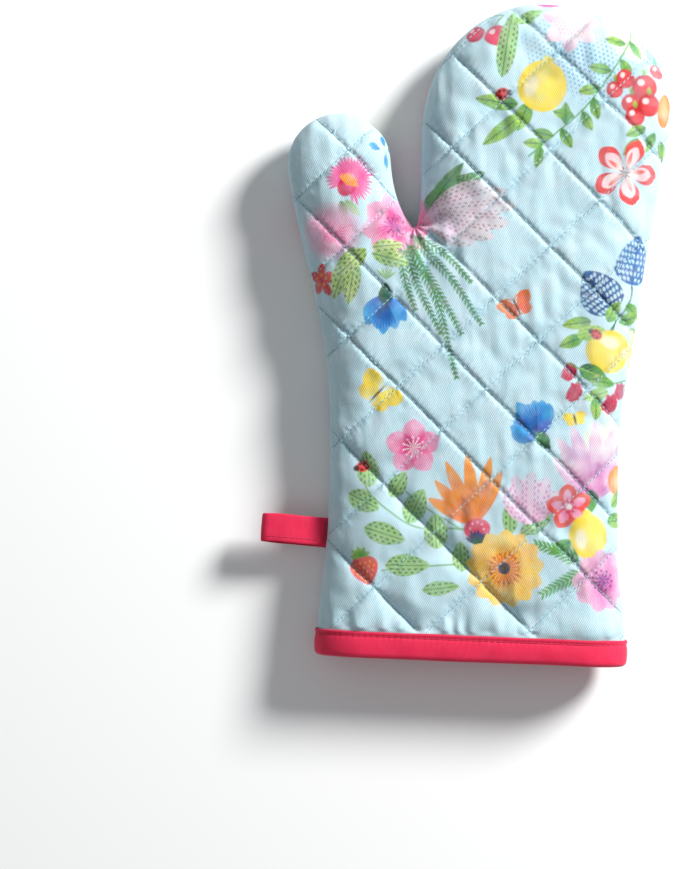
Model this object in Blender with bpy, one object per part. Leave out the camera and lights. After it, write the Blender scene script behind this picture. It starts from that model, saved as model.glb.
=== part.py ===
"""Quilted oven mitt with a bound cuff and a hanging loop.

The mitt lies on its back panel with the fingers towards +Y and the thumb
towards -X.  Every piece is drawn in the hem frame: X runs along the hem, Y
runs from the hem to the fingertips, and Z = 0 is the plane of the side seam.
The front and back panels are shallow domes that meet at that plane.  Each
panel has three layers, a cotton shell, a batting and a lining, which follow
the same dome at growing depths.  An empty at the end of the script moves the
whole mitt so that it stands on Z = 0 with its box centred on the origin.
All sizes are in metres.
"""

import math

import bmesh
import bpy
import numpy as np
from mathutils import Vector
from mathutils.geometry import delaunay_2d_cdt

# Outline of the mitt
CUFF_WIDTH = 0.1536
PALM_WIDTH = 0.144
PALM_SHIFT = -0.002        # the palm's middle, from the middle of the hem
PALM_LENGTH = 0.2155       # hem to crotch
FINGER_LENGTH = 0.1145     # crotch to fingertips
FINGER_WIDTH = 0.124
THUMB_LENGTH = 0.0545      # crotch to the thumb's tip
THUMB_WIDTH = 0.053
CROTCH_SIDE = -0.0367      # the crotch, from the middle of the hem
CROTCH_ROUND = 0.0015
FINGER_STEP = 0.0022       # the fingers' side stands this far past the crotch
THUMB_STEP = 0.0113        # and the thumb's side this far the other way
THUMB_LEAN = 15.0          # degrees
WRIST_LEFT_HEIGHT = 0.075  # where each side of the palm is narrowest
WRIST_RIGHT_HEIGHT = 0.108
TIP_FULLNESS = 0.62        # handle length of the fingertips' curve, of its radius

# Section through the mitt
HALF_HEIGHT = 0.018        # seam plane to the face of either panel
SHELL = 0.0006
BATTING = 0.0045
LINING = 0.0005
GAP = 0.0003               # between touching pieces
SIDE_ROUND_SHARE = 0.9     # of half the thumb, so that the thumb keeps a crown

# Binding of the cuff
BINDING_WIDTH = 0.013
BINDING_TAPE = 0.0008
BINDING_EDGE = 0.002       # topstitch to the tape's upper edge
CUFF_RAMP = 0.020          # length over which the cuff fills out to full height

# Seam inside the mitt
SEAM_WIDTH = 0.0065
SEAM_THICKNESS = 0.0024
SEAM_SETBACK = 0.0008      # from the lining's edge
SEAM_STITCH_SETBACK = 0.001

# Hanging loop of folded tape
LOOP_HEIGHT = 0.0615       # hem to the middle of the loop
LOOP_LENGTH = 0.031        # pivot to fold
LOOP_TAPE_WIDTH = 0.0145
LOOP_TAPE = 0.0011
LOOP_EYE_HEIGHT = 0.0066
LOOP_JOIN = 0.006          # length over which the tape's two ends lie together
LOOP_STITCH_EDGE = 0.0025
TACK_LENGTH = 0.0016
TACK_MARGIN = 0.0015       # the bar tack stops this far from the tape's edges

# Sewing
THREAD = 0.0005
QUILT_PITCH = 0.034        # between neighbouring quilting lines
QUILT_TURN = 44.0          # degrees from the hem
QUILT_NODE = (0.0307, 0.2076)   # one crossing of the quilting lines
QUILT_THREAD = 0.0009      # width of a quilting line

# Mesh fineness
CURVE_STEP = 0.0095
RING_ANGLES = (0.0, 20.0, 42.0, 66.0, 90.0)
CROWN_STEP = 0.026

SIDE_ROUND = SIDE_ROUND_SHARE * THUMB_WIDTH / 2
LAYERS = SHELL + GAP + BATTING + GAP + LINING
CUFF_TUCK = GAP + BINDING_TAPE + GAP + THREAD + GAP / 3
CUFF_HALF_HEIGHT = HALF_HEIGHT - CUFF_TUCK
STRAIGHT_HEM = BINDING_WIDTH + 0.001
PANEL_HEM = BINDING_TAPE + GAP
WRIST_LEFT = PALM_SHIFT - PALM_WIDTH / 2
WRIST_RIGHT = PALM_SHIFT + PALM_WIDTH / 2


def make_material(name, colour, roughness):
    """A plain cloth or thread."""
    material = bpy.data.materials.new(name)
    material.use_nodes = True
    shader = material.node_tree.nodes["Principled BSDF"]
    shader.inputs["Base Color"].default_value = (*colour, 1.0)
    shader.inputs["Roughness"].default_value = roughness
    shader.inputs["Metallic"].default_value = 0.0
    return material


# ---------------------------------------------------------------- outline

def bezier(start, start_way, end, end_way, start_reach=0.36, end_reach=0.36):
    """Points along a curve, without its last one; ways are unit vectors."""
    start, end = np.array(start), np.array(end)
    span = np.linalg.norm(end - start)
    first = start + start_reach * span * np.array(start_way)
    second = end - end_reach * span * np.array(end_way)
    count = max(2, round(span / CURVE_STEP))
    points = []
    for i in range(count):
        t = i / count
        points.append((1 - t) ** 3 * start + 3 * t * (1 - t) ** 2 * first
                      + 3 * t ** 2 * (1 - t) * second + t ** 3 * end)
    return points


def quarter(centre, radius, turn):
    """A quarter of the fingertips: 0 climbs to the top, 1 comes down from it."""
    reach = TIP_FULLNESS * radius / (radius * math.sqrt(2))
    side = (centre[0] + (radius if turn else -radius), centre[1])
    top = (centre[0], centre[1] + radius)
    if turn:
        return bezier(top, (1, 0), side, (0, -1), reach, reach)
    return bezier(side, (0, 1), top, (1, 0), reach, reach)


def side_outline():
    """The side seam's line, from the left end of the hem round to its right end."""
    finger_radius = FINGER_WIDTH / 2
    thumb_radius = THUMB_WIDTH / 2
    finger_centre = (CROTCH_SIDE + FINGER_STEP + finger_radius,
                     PALM_LENGTH + FINGER_LENGTH - finger_radius)
    thumb_centre = (CROTCH_SIDE - THUMB_STEP - thumb_radius,
                    PALM_LENGTH + THUMB_LENGTH - thumb_radius)
    lean = math.radians(THUMB_LEAN)

    left_hem = (-CUFF_WIDTH / 2, STRAIGHT_HEM)
    right_hem = (CUFF_WIDTH / 2, STRAIGHT_HEM)
    left_wrist = (WRIST_LEFT, WRIST_LEFT_HEIGHT)
    right_wrist = (WRIST_RIGHT, WRIST_RIGHT_HEIGHT)
    thumb_left = (thumb_centre[0] - thumb_radius * math.cos(lean),
                  thumb_centre[1] - thumb_radius * math.sin(lean))
    thumb_right = (thumb_centre[0] + thumb_radius, thumb_centre[1])
    crotch_centre = np.array((CROTCH_SIDE, PALM_LENGTH + CROTCH_ROUND))
    finger_left = (finger_centre[0] - finger_radius, finger_centre[1])
    finger_right = (finger_centre[0] + finger_radius, finger_centre[1])

    points = [np.array((left_hem[0], PANEL_HEM))]
    points += bezier(left_hem, (0, 1), left_wrist, (0, 1), 0.12, 0.50)
    points += bezier(left_wrist, (0, 1), thumb_left, (-math.sin(lean), math.cos(lean)), 0.42, 0.30)

    thumb_turn = math.pi + lean
    count = round(thumb_turn * thumb_radius / CURVE_STEP)
    for i in range(count):
        angle = thumb_turn * (1 - i / count)
        points.append(np.array(thumb_centre) + thumb_radius * np.array((math.cos(angle), math.sin(angle))))

    crotch_start, crotch_end = math.radians(-41), math.radians(78)
    crotch = [crotch_centre + CROTCH_ROUND * np.array((math.sin(a), -math.cos(a)))
              for a in np.linspace(crotch_start, crotch_end, 6)]
    points += bezier(thumb_right, (0, -1), crotch[0],
                     (math.cos(crotch_start), math.sin(crotch_start)), 0.40, 0.25)
    points += crotch[:-1]
    points += bezier(crotch[-1], (math.cos(crotch_end), math.sin(crotch_end)), finger_left, (0, 1))
    points += quarter(finger_centre, finger_radius, 0)
    points += quarter(finger_centre, finger_radius, 1)
    points += bezier(finger_right, (-0.12, -0.993), right_wrist, (0, -1), 0.34, 0.34)
    points += bezier(right_wrist, (0, -1), right_hem, (0, -1), 0.55, 0.12)
    points.append(np.array(right_hem))
    points.append(np.array((right_hem[0], PANEL_HEM)))
    return np.array(points)


OUTLINE = side_outline()
# The cuff is open, so the line that gives a point's distance to the seam goes on past the hem.
OPEN_LINE = np.vstack((OUTLINE[0] - (0, PALM_WIDTH), OUTLINE, OUTLINE[-1] - (0, PALM_WIDTH)))


def seam_distance(point):
    """Distance from the side seam, and the way that leads from it to the point."""
    starts, spans = OPEN_LINE[:-1], np.diff(OPEN_LINE, axis=0)
    share = np.clip(((point - starts) * spans).sum(1) / (spans ** 2).sum(1), 0, 1)
    feet = starts + share[:, None] * spans
    distances = np.linalg.norm(point - feet, axis=1)
    nearest = distances.argmin()
    distance = distances[nearest]
    if distance < 1e-7:
        return 0.0, inward_normals()[nearest]
    return distance, (point - feet[nearest]) / distance


def inward_normals():
    """The unit normal into the mitt at each point of the outline."""
    along = np.empty_like(OUTLINE)
    along[1:-1] = OUTLINE[2:] - OUTLINE[:-2]
    along[0] = OUTLINE[1] - OUTLINE[0]
    along[-1] = OUTLINE[-1] - OUTLINE[-2]
    along /= np.linalg.norm(along, axis=1)[:, None]
    return np.column_stack((along[:, 1], -along[:, 0]))


# ---------------------------------------------------------------- dome

def half_height(y):
    """Half the mitt's height: the binding draws the cuff in."""
    t = min(1.0, max(0.0, (y - STRAIGHT_HEM) / CUFF_RAMP))
    return CUFF_HALF_HEIGHT + CUFF_TUCK * t * t * (3 - 2 * t)


def dome_point(point, way, angle, depth, side):
    """A place on the dome; point is its plan place, depth is measured into the mitt."""
    height = half_height(point[1])
    sin, cos = math.sin(angle), math.cos(angle)
    normal = np.array((cos / SIDE_ROUND, sin / height))
    normal /= np.linalg.norm(normal)
    plan = point + way * depth * normal[0]
    rise = GAP / 2 + height * sin - depth * normal[1]
    return Vector((plan[0], plan[1], side * rise))


def dome_angle(distance):
    """0 at the side seam, a right angle on the crown."""
    return math.acos(max(0.0, 1 - distance / SIDE_ROUND))


def panel_plan():
    """Plan points of a panel with their dome places, its triangles and its border."""
    normals = inward_normals()
    points, ways, angles = [], [], []

    def add(point, way, angle):
        points.append(point)
        ways.append(way)
        angles.append(angle)

    for place, normal in zip(OUTLINE, normals):
        add(place, normal, 0.0)
    outline_count = len(points)

    # Along the hem, from its right end to its left, and the same row where the binding ends.
    hem_places = []
    for ring in RING_ANGLES[1:]:
        hem_places.append(SIDE_ROUND * (1 - math.cos(math.radians(ring))))
    crown = CUFF_WIDTH - 2 * SIDE_ROUND
    crown_count = round(crown / CROWN_STEP)
    for i in range(1, crown_count):
        hem_places.append(SIDE_ROUND + crown * i / crown_count)
    for ring in reversed(RING_ANGLES[1:]):
        hem_places.append(CUFF_WIDTH - SIDE_ROUND * (1 - math.cos(math.radians(ring))))
    for place in hem_places:
        x = CUFF_WIDTH / 2 - place
        edge = min(place, CUFF_WIDTH - place)
        way = np.array((-1.0 if x > 0 else 1.0, 0.0))
        add(np.array((x, PANEL_HEM)), way, dome_angle(edge))
    border_count = len(points)

    # Rings of growing distance from the side seam.
    for ring in RING_ANGLES[1:]:
        distance = SIDE_ROUND * (1 - math.cos(math.radians(ring)))
        for place, normal in zip(OUTLINE[1:-1], normals[1:-1]):
            point = place + normal * distance
            found, way = seam_distance(point)
            near = min(np.linalg.norm(point - other) for other in points[outline_count:])
            if found > distance - 0.0002 and near > 0.0035:
                add(point, way, math.radians(ring))

    # The crown, with rows where the cuff fills out.
    rows = [STRAIGHT_HEM, STRAIGHT_HEM + CUFF_RAMP / 2, STRAIGHT_HEM + CUFF_RAMP]
    top = PALM_LENGTH + FINGER_LENGTH
    while rows[-1] + CROWN_STEP < top:
        rows.append(rows[-1] + CROWN_STEP)
    left = OUTLINE[:, 0].min()
    columns = int((OUTLINE[:, 0].max() - left) / CROWN_STEP)
    for row in rows:
        for column in range(columns + 1):
            point = np.array((left + CROWN_STEP * column, row))
            distance, way = seam_distance(point)
            if distance > SIDE_ROUND + CROWN_STEP / 5 and inside_outline(point):
                add(point, way, math.pi / 2)

    vertices = [Vector(point) for point in points]
    border = list(range(border_count))
    result = delaunay_2d_cdt(vertices, [], [border], 1, 1e-7)
    triangles = result[2]
    order = [found[0] for found in result[3]]
    return ([points[i] for i in order], [ways[i] for i in order],
            [angles[i] for i in order], triangles, [order.index(i) for i in border])


def inside_outline(point):
    """Whether a plan point lies between the side seams and above the hem."""
    ring = OUTLINE
    after = np.roll(ring, -1, axis=0)
    crosses = (ring[:, 1] > point[1]) != (after[:, 1] > point[1])
    rise = np.where(crosses, after[:, 1] - ring[:, 1], 1.0)
    at = ring[:, 0] + (point[1] - ring[:, 1]) / rise * (after[:, 0] - ring[:, 0])
    return bool(np.count_nonzero(crosses & (at > point[0])) % 2)


# ---------------------------------------------------------------- building

def add_object(name, bm, material, parent, smooth=40.0):
    """Turns a bmesh into one named object."""
    bmesh.ops.recalc_face_normals(bm, faces=bm.faces)
    mesh = bpy.data.meshes.new(name)
    bm.to_mesh(mesh)
    bm.free()
    mesh.materials.append(material)
    mesh.shade_smooth()
    mesh.set_sharp_from_angle(angle=math.radians(smooth))
    made = bpy.data.objects.new(name, mesh)
    bpy.context.scene.collection.objects.link(made)
    made.parent = parent
    return made


def add_sheet(name, plan, side, outer, inner, material, parent):
    """A closed sheet over the dome, from one depth to another."""
    points, ways, angles, triangles, border = plan
    bm = bmesh.new()
    faces = []
    for depth in (outer, inner):
        faces.append([bm.verts.new(dome_point(p, w, a, depth, side))
                      for p, w, a in zip(points, ways, angles)])
    for triangle in triangles:
        bm.faces.new([faces[0][i] for i in triangle])
        bm.faces.new([faces[1][i] for i in reversed(triangle)])
    for i, start in enumerate(border):
        end = border[(i + 1) % len(border)]
        bm.faces.new((faces[0][start], faces[1][start], faces[1][end], faces[0][end]))
    return add_object(name, bm, material, parent)


def add_sweep(name, stations, closed, material, parent):
    """Joins equal closed sections, given as lists of places, into one body."""
    bm = bmesh.new()
    rings = [[bm.verts.new(place) for place in section] for section in stations]
    size = len(rings[0])
    last = len(rings) if closed else len(rings) - 1
    for i in range(last):
        near, far = rings[i], rings[(i + 1) % len(rings)]
        for k in range(size):
            after = (k + 1) % size
            bm.faces.new((near[k], near[after], far[after], far[k]))
    if not closed:
        bm.faces.new(list(reversed(rings[0])))
        bm.faces.new(rings[-1])
    return add_object(name, bm, material, parent)


# ---------------------------------------------------------------- pieces

def cuff_stations():
    """Plan places and dome angles once round the mouth: over the front, then under the back."""
    half = []
    for ring in RING_ANGLES:
        angle = math.radians(ring)
        half.append((-CUFF_WIDTH / 2 + SIDE_ROUND * (1 - math.cos(angle)), 1.0, angle))
    crown = CUFF_WIDTH - 2 * SIDE_ROUND
    crown_count = round(crown / CROWN_STEP)
    for i in range(1, crown_count):
        x = -CUFF_WIDTH / 2 + SIDE_ROUND + crown * i / crown_count
        half.append((x, 1.0 if x < 0 else -1.0, math.pi / 2))
    for ring in reversed(RING_ANGLES):
        angle = math.radians(ring)
        half.append((CUFF_WIDTH / 2 - SIDE_ROUND * (1 - math.cos(angle)), -1.0, angle))
    front = [(x, way, angle, 1) for x, way, angle in half]
    back = [(x, way, angle, -1) for x, way, angle in reversed(half[1:-1])]
    return front + back


def cuff_ring(name, section, material, parent):
    """A ring round the mouth; the section is a list of (depth, height above the hem)."""
    stations = []
    for x, way, angle, side in cuff_stations():
        ring = []
        for depth, y in section:
            place = dome_point(np.array((x, 0.0)), np.array((way, 0.0)), angle, depth, side)
            if angle == 0.0:
                place.z = 0.0
            place.y = y
            ring.append(place)
        stations.append(ring)
    return add_sweep(name, stations, True, material, parent)


def add_binding(material, thread, parent):
    """Tape folded over the raw hem, and the stitching that holds it on both faces."""
    outside = -GAP - BINDING_TAPE
    inside = LAYERS + GAP + BINDING_TAPE
    cuff_ring("cuff_binding", [
        (outside, BINDING_WIDTH), (-GAP, BINDING_WIDTH),
        (-GAP, BINDING_TAPE), (LAYERS + GAP, BINDING_TAPE),
        (LAYERS + GAP, BINDING_WIDTH), (inside, BINDING_WIDTH),
        (inside, 0.0), (outside, 0.0)], material, parent)
    stitch = BINDING_WIDTH - BINDING_EDGE
    for name, near in (("binding_stitch_outer", outside - GAP - THREAD),
                       ("binding_stitch_inner", inside + GAP)):
        far = near + THREAD
        cuff_ring(name, [(near, stitch), (far, stitch), (far, stitch - THREAD),
                         (near, stitch - THREAD)], thread, parent)


def seam_strip(name, near, far, low, high, material, parent):
    """A strip along the inside of the side seam, between two distances from it."""
    line = OUTLINE[2:-2]
    normals = inward_normals()[2:-2]
    stations = []
    for place, normal in zip(line, normals):
        if place[1] < BINDING_WIDTH + GAP:
            continue
        outer, inner = place + normal * near, place + normal * far
        stations.append([Vector((*outer, high)), Vector((*inner, high)),
                         Vector((*inner, low)), Vector((*outer, low))])
    return add_sweep(name, stations, False, material, parent)


def add_seam(material, thread, parent):
    """The overlocked edges of both panels inside the mitt, and the seam's thread on them."""
    near = LAYERS + SEAM_SETBACK
    half = SEAM_THICKNESS / 2
    seam_strip("seam_allowance", near, near + SEAM_WIDTH, -half, half, material, parent)
    stitch = near + SEAM_STITCH_SETBACK
    seam_strip("side_seam_thread", stitch, stitch + THREAD,
               half + GAP, half + GAP + THREAD, thread, parent)


def quilting_lines():
    """Strips of the quilting, as (point on the line, way along it)."""
    lines = []
    reach = (PALM_LENGTH + FINGER_LENGTH + PALM_WIDTH)
    count = int(reach / QUILT_PITCH)
    for turn in (-QUILT_TURN, QUILT_TURN):
        way = np.array((math.cos(math.radians(turn)), math.sin(math.radians(turn))))
        across = np.array((-way[1], way[0]))
        for i in range(-count, count + 1):
            lines.append((np.array(QUILT_NODE) + across * QUILT_PITCH * i, way))
    return lines


def crown_runs(start, way):
    """The stretches of a line that lie on the flat crown."""
    reach = PALM_LENGTH + FINGER_LENGTH
    steps = np.arange(-reach, reach, 0.001)
    runs, run = [], []
    for step in steps:
        point = start + way * step
        on_crown = (point[1] > STRAIGHT_HEM + CUFF_RAMP and inside_outline(point)
                    and seam_distance(point)[0] > SIDE_ROUND + GAP)
        if on_crown:
            run.append(step)
        elif run:
            runs.append((run[0], run[-1]))
            run = []
    return [run for run in runs if run[1] - run[0] > QUILT_PITCH / 2]


def quilting_plan():
    """Plan triangles of the net that the quilting lines make on the crown."""
    vertices, faces = [], []
    strips = []
    half = QUILT_THREAD / 2
    for start, way in quilting_lines():
        across = np.array((-way[1], way[0])) * half
        for low, high in crown_runs(start, way):
            corners = [start + way * low - across, start + way * high - across,
                       start + way * high + across, start + way * low + across]
            base = len(vertices)
            vertices += [Vector(corner) for corner in corners]
            faces.append([base, base + 1, base + 2, base + 3])
            strips.append((start, way, low, high))
    result = delaunay_2d_cdt(vertices, [], faces, 1, 1e-7)
    return result[0], largest_group(result[2])


def largest_group(triangles):
    """The largest set of triangles that share corners' edges; the thumb is too narrow for a net."""
    owners = {}
    for i, triangle in enumerate(triangles):
        for k in range(3):
            edge = frozenset((triangle[k], triangle[(k + 1) % 3]))
            owners.setdefault(edge, []).append(i)
    links = {i: set() for i in range(len(triangles))}
    for pair in owners.values():
        for i in pair:
            links[i].update(pair)
    left, best = set(links), []
    while left:
        group, todo = [], [left.pop()]
        while todo:
            i = todo.pop()
            group.append(i)
            fresh = links[i] & left
            left -= fresh
            todo += fresh
        if len(group) > len(best):
            best = group
    return [triangles[i] for i in best]


def add_quilting(name, plan, side, thread, parent):
    """The quilting thread as it lies on the lining, inside the mitt."""
    points, triangles = plan
    near = HALF_HEIGHT + GAP / 2 - LAYERS - GAP
    used = sorted({i for triangle in triangles for i in triangle})
    bm = bmesh.new()
    levels = []
    for z in (near, near - THREAD):
        levels.append({i: bm.verts.new((points[i].x, points[i].y, side * z)) for i in used})
    owners = {}
    for triangle in triangles:
        bm.faces.new([levels[0][i] for i in triangle])
        bm.faces.new([levels[1][i] for i in reversed(triangle)])
        for k in range(3):
            edge = (triangle[k], triangle[(k + 1) % 3])
            owners.setdefault(frozenset(edge), []).append(edge)
    for edges in owners.values():
        if len(edges) == 1:
            start, end = edges[0]
            bm.faces.new((levels[0][start], levels[1][start], levels[1][end], levels[0][end]))
    return add_object(name, bm, thread, parent)


def loop_section(offset):
    """Half of the loop seen along Y, from its pivot to its fold, grown outwards by an offset.

    The tape's ends lie together from the pivot outwards, then part round the eye.
    """
    join = LOOP_TAPE + GAP / 2 + offset
    eye = LOOP_EYE_HEIGHT / 2 + LOOP_TAPE + offset
    points = []
    for i in range(5):
        turn = math.pi / 2 * i / 4
        points.append((join * math.cos(turn), join * math.sin(turn)))
    end = LOOP_LENGTH - eye + offset
    spread = 6
    for i in range(spread + 1):
        t = i / spread
        x = LOOP_JOIN + (end - LOOP_JOIN) * t
        points.append((-x, join + (eye - join) * t * t * (3 - 2 * t)))
    for i in range(1, 5):
        turn = math.pi / 2 * i / 4
        points.append((-end - eye * math.sin(turn), eye * math.cos(turn)))
    return points


def loop_eye():
    """Half of the eye, from where the tape's ends part to the fold."""
    eye = LOOP_EYE_HEIGHT / 2
    end = LOOP_LENGTH - eye - LOOP_TAPE
    points = [(-LOOP_JOIN - LOOP_TAPE, 0.0)]
    spread = 6
    for i in range(1, spread + 1):
        t = i / spread
        x = LOOP_JOIN + LOOP_TAPE + (end - LOOP_JOIN - LOOP_TAPE) * t
        points.append((-x, eye * t * t * (3 - 2 * t)))
    for i in range(1, 5):
        turn = math.pi / 2 * i / 4
        points.append((-end - eye * math.sin(turn), eye * math.cos(turn)))
    return points


def mirrored(half):
    """A closed line from its upper half."""
    return half + [(x, -z) for x, z in reversed(half[1:-1])]


def add_loop(material, thread, pivot):
    """The folded tape, its edge stitch and the two bar tacks; the pivot is their origin."""
    half = LOOP_TAPE_WIDTH / 2
    outer = mirrored(loop_section(0.0))
    eye = mirrored(loop_eye())
    bm = bmesh.new()
    caps = {}
    for y in (-half, half):
        for label, line in (("outer", outer), ("eye", eye)):
            caps[label, y] = [bm.verts.new((x, y, z)) for x, z in line]
        edges = []
        for label in ("outer", "eye"):
            ring = caps[label, y]
            edges += [bm.edges.new((ring[i], ring[(i + 1) % len(ring)])) for i in range(len(ring))]
        bmesh.ops.triangle_fill(bm, use_beauty=True, use_dissolve=False, edges=edges)
    for label in ("outer", "eye"):
        low, high = caps[label, -half], caps[label, half]
        for i in range(len(low)):
            after = (i + 1) % len(low)
            bm.faces.new((low[i], low[after], high[after], high[i]))
    add_object("hanging_loop", bm, material, pivot)

    near = loop_section(GAP)
    far = loop_section(GAP + THREAD)
    line_near = near[5:] + [(x, -z) for x, z in reversed(near[5:-1])]
    line_far = far[5:] + [(x, -z) for x, z in reversed(far[5:-1])]
    y = -half + LOOP_STITCH_EDGE
    stations = []
    for (nx, nz), (fx, fz) in zip(line_near, line_far):
        stations.append([Vector((nx, y, nz)), Vector((fx, y, fz)),
                         Vector((fx, y + THREAD, fz)), Vector((nx, y + THREAD, nz))])
    add_sweep("loop_edge_stitch", stations, False, thread, pivot)

    join = LOOP_TAPE + GAP / 2 + GAP
    reach = half - TACK_MARGIN
    for name, side in (("loop_tack_upper", 1), ("loop_tack_lower", -1)):
        bm = bmesh.new()
        bmesh.ops.create_cube(bm, size=1.0)
        bmesh.ops.scale(bm, verts=bm.verts, vec=(TACK_LENGTH, 2 * reach, THREAD))
        bmesh.ops.translate(bm, verts=bm.verts,
                            vec=(-LOOP_JOIN / 2, 0, side * (join + THREAD / 2)))
        add_object(name, bm, thread, pivot)


def add_empty(name, place, parent=None):
    """A named frame for other objects."""
    empty = bpy.data.objects.new(name, None)
    empty.empty_display_size = 0.02
    bpy.context.scene.collection.objects.link(empty)
    empty.location = place
    empty.parent = parent
    return empty


def loop_pivot_place():
    """On the side seam's level, where the rounded end of the loop just clears the shell."""
    low = LOOP_HEIGHT - LOOP_TAPE_WIDTH / 2
    high = LOOP_HEIGHT + LOOP_TAPE_WIDTH / 2
    heights = OUTLINE[:len(OUTLINE) // 3, 1]
    sides = OUTLINE[:len(OUTLINE) // 3, 0]
    edge = min(np.interp(y, heights, sides) for y in np.linspace(low, high, 9))
    return Vector((edge - GAP - (LOOP_TAPE + GAP / 2), LOOP_HEIGHT, 0.0))


def rest_on_ground(frame):
    """Moves the frame so that the mitt's box stands on the origin."""
    bpy.context.view_layer.update()
    places = [made.matrix_world @ vertex.co for made in bpy.data.objects
              if made.type == "MESH" for vertex in made.data.vertices]
    low = [min(place[k] for place in places) for k in range(3)]
    high = [max(place[k] for place in places) for k in range(3)]
    frame.location = (-(low[0] + high[0]) / 2, -(low[1] + high[1]) / 2, -low[2])


def main():
    for old in list(bpy.data.objects):
        bpy.data.objects.remove(old, do_unlink=True)

    cotton = make_material("printed_cotton", (0.52, 0.74, 0.82), 0.85)
    fill = make_material("batting", (0.92, 0.91, 0.87), 0.95)
    lining = make_material("lining", (0.86, 0.86, 0.82), 0.9)
    twill = make_material("red_twill", (0.76, 0.03, 0.10), 0.8)
    blue_thread = make_material("blue_thread", (0.45, 0.66, 0.75), 0.6)
    red_thread = make_material("red_thread", (0.42, 0.01, 0.05), 0.6)
    white_thread = make_material("white_thread", (0.85, 0.85, 0.82), 0.6)

    frame = add_empty("mitt_frame", (0.0, 0.0, 0.0))
    plan = panel_plan()
    batting_depth = SHELL + GAP
    lining_depth = batting_depth + BATTING + GAP
    for panel, side in (("front", 1), ("back", -1)):
        add_sheet(panel + "_shell", plan, side, 0.0, SHELL, cotton, frame)
        add_sheet(panel + "_batting", plan, side, batting_depth, batting_depth + BATTING, fill, frame)
        add_sheet(panel + "_lining", plan, side, lining_depth, lining_depth + LINING, lining, frame)

    net = quilting_plan()
    for panel, side in (("front", 1), ("back", -1)):
        add_quilting(panel + "_quilting_thread", net, side, blue_thread, frame)

    add_seam(lining, white_thread, frame)
    add_binding(twill, red_thread, frame)
    pivot = add_empty("loop_pivot", loop_pivot_place(), frame)
    add_loop(twill, red_thread, pivot)
    rest_on_ground(frame)


main()
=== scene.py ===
"""Looks of the quilted oven mitt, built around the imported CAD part.

Pieces are worked out in millimetres in the hem's own frame: x along the hem, y towards the
fingertips, z up from the plane of the side seam. world() takes a point from there to the frame.
"""

import math

import bpy
import numpy as np
from mathutils import Matrix, Vector
from mathutils.bvhtree import BVHTree
from mathutils.geometry import delaunay_2d_cdt

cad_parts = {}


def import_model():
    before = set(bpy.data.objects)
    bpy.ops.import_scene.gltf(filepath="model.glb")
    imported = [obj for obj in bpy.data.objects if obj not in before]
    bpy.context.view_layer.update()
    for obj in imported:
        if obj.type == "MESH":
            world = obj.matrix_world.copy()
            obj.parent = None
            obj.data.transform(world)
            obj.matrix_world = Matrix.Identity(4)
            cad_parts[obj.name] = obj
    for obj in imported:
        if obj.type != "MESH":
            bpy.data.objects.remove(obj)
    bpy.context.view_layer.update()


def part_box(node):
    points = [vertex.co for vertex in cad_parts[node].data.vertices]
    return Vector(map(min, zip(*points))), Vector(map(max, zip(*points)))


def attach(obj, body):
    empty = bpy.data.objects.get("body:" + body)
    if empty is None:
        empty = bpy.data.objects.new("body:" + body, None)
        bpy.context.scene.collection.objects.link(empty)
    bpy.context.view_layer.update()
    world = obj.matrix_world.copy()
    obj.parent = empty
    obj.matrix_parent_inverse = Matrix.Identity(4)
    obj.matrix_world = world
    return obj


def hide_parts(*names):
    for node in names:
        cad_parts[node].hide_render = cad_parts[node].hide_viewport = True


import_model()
scene = bpy.context.scene

MM = 0.001
CUFF_LOW, CUFF_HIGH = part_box("cuff_binding")
SEAM_LOW, SEAM_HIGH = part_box("seam_allowance")
HEM = np.array(((CUFF_LOW.x + CUFF_HIGH.x) / 2, CUFF_LOW.y, (SEAM_LOW.z + SEAM_HIGH.z) / 2))

# The side seam, from the left end of the hem round to its right end: x, y and the way it heads
SEAM_LINE = (
    (-76.8, 2.0, 90), (-76.6, 13, 90), (-73.7, 70, 90), (-81.8, 167, 104), (-97.7, 226.5, 103.6),
    (-100.9, 244, 90), (-76, 270.4, 0), (-49.8, 249, -84), (-43.5, 224.5, -63),
    (-37.68, 215.87, -41), (-35.23, 216.69, 78), (-33.8, 236, 90), (-34.3, 268, 88),
    (25, 329.3, 0), (89.7, 275, -92), (84.2, 234, -96), (77.8, 186, -95), (75, 160, -98),
    (70, 110, -90), (71.5, 60, -88), (76.9, 14, -86), (77.0, 2.0, -90))
CROTCH = np.array((-36.7, 215.5))
CROTCH_HEADING = -41      # the way the seam line heads where the crotch's tight curve starts
SIDE_ROUND = 23.85        # plan width over which a panel curls down to the seam
PANEL_RISE = 15.0         # seam plane to the bottom of the quilting's grooves
CUFF_RISE = 15.9          # and to the cloth under the binding
CUFF_TOP = 13.0           # upper edge of the binding
CUFF_BLEND = 14.0         # and from there the rise of the panel takes this long to change
HEM_START = 2.0
RING_ANGLES = np.radians((0, 9, 18, 27, 36, 45, 54))
GRID = 2.4                # spacing of a panel's points before subdivision
HEM_POINTS = 50           # points along the hem's flat part
CLEAR_OF_RING = 1.3       # the grid's points stay this far from the innermost ring
CLEAR_OF_QUILTING = 1.25  # and this far from a quilting line

# Quilting: lines that fall to the right, and lines that rise, by their distance from the hem's middle
FALLING = ((0.682, 0.731), (-42.0, -8.0, 31.6, 70.5, 100.4, 135.7, 172.7, 206.0, 243.0, 277.0))
RISING = ((-0.7071, 0.7071), (-42.0, -8.0, 26.0, 60.0, 94.5, 125.1, 160.0, 194.0, 228.0))
QUILT_LINES = [(np.array(way), offset, family)
               for family, (way, offsets) in enumerate((FALLING, RISING)) for offset in offsets]


def world(points):
    """Points of the hem's frame, in millimetres, as metres in the frame's own place."""
    return HEM + np.asarray(points, float) * MM


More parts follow.
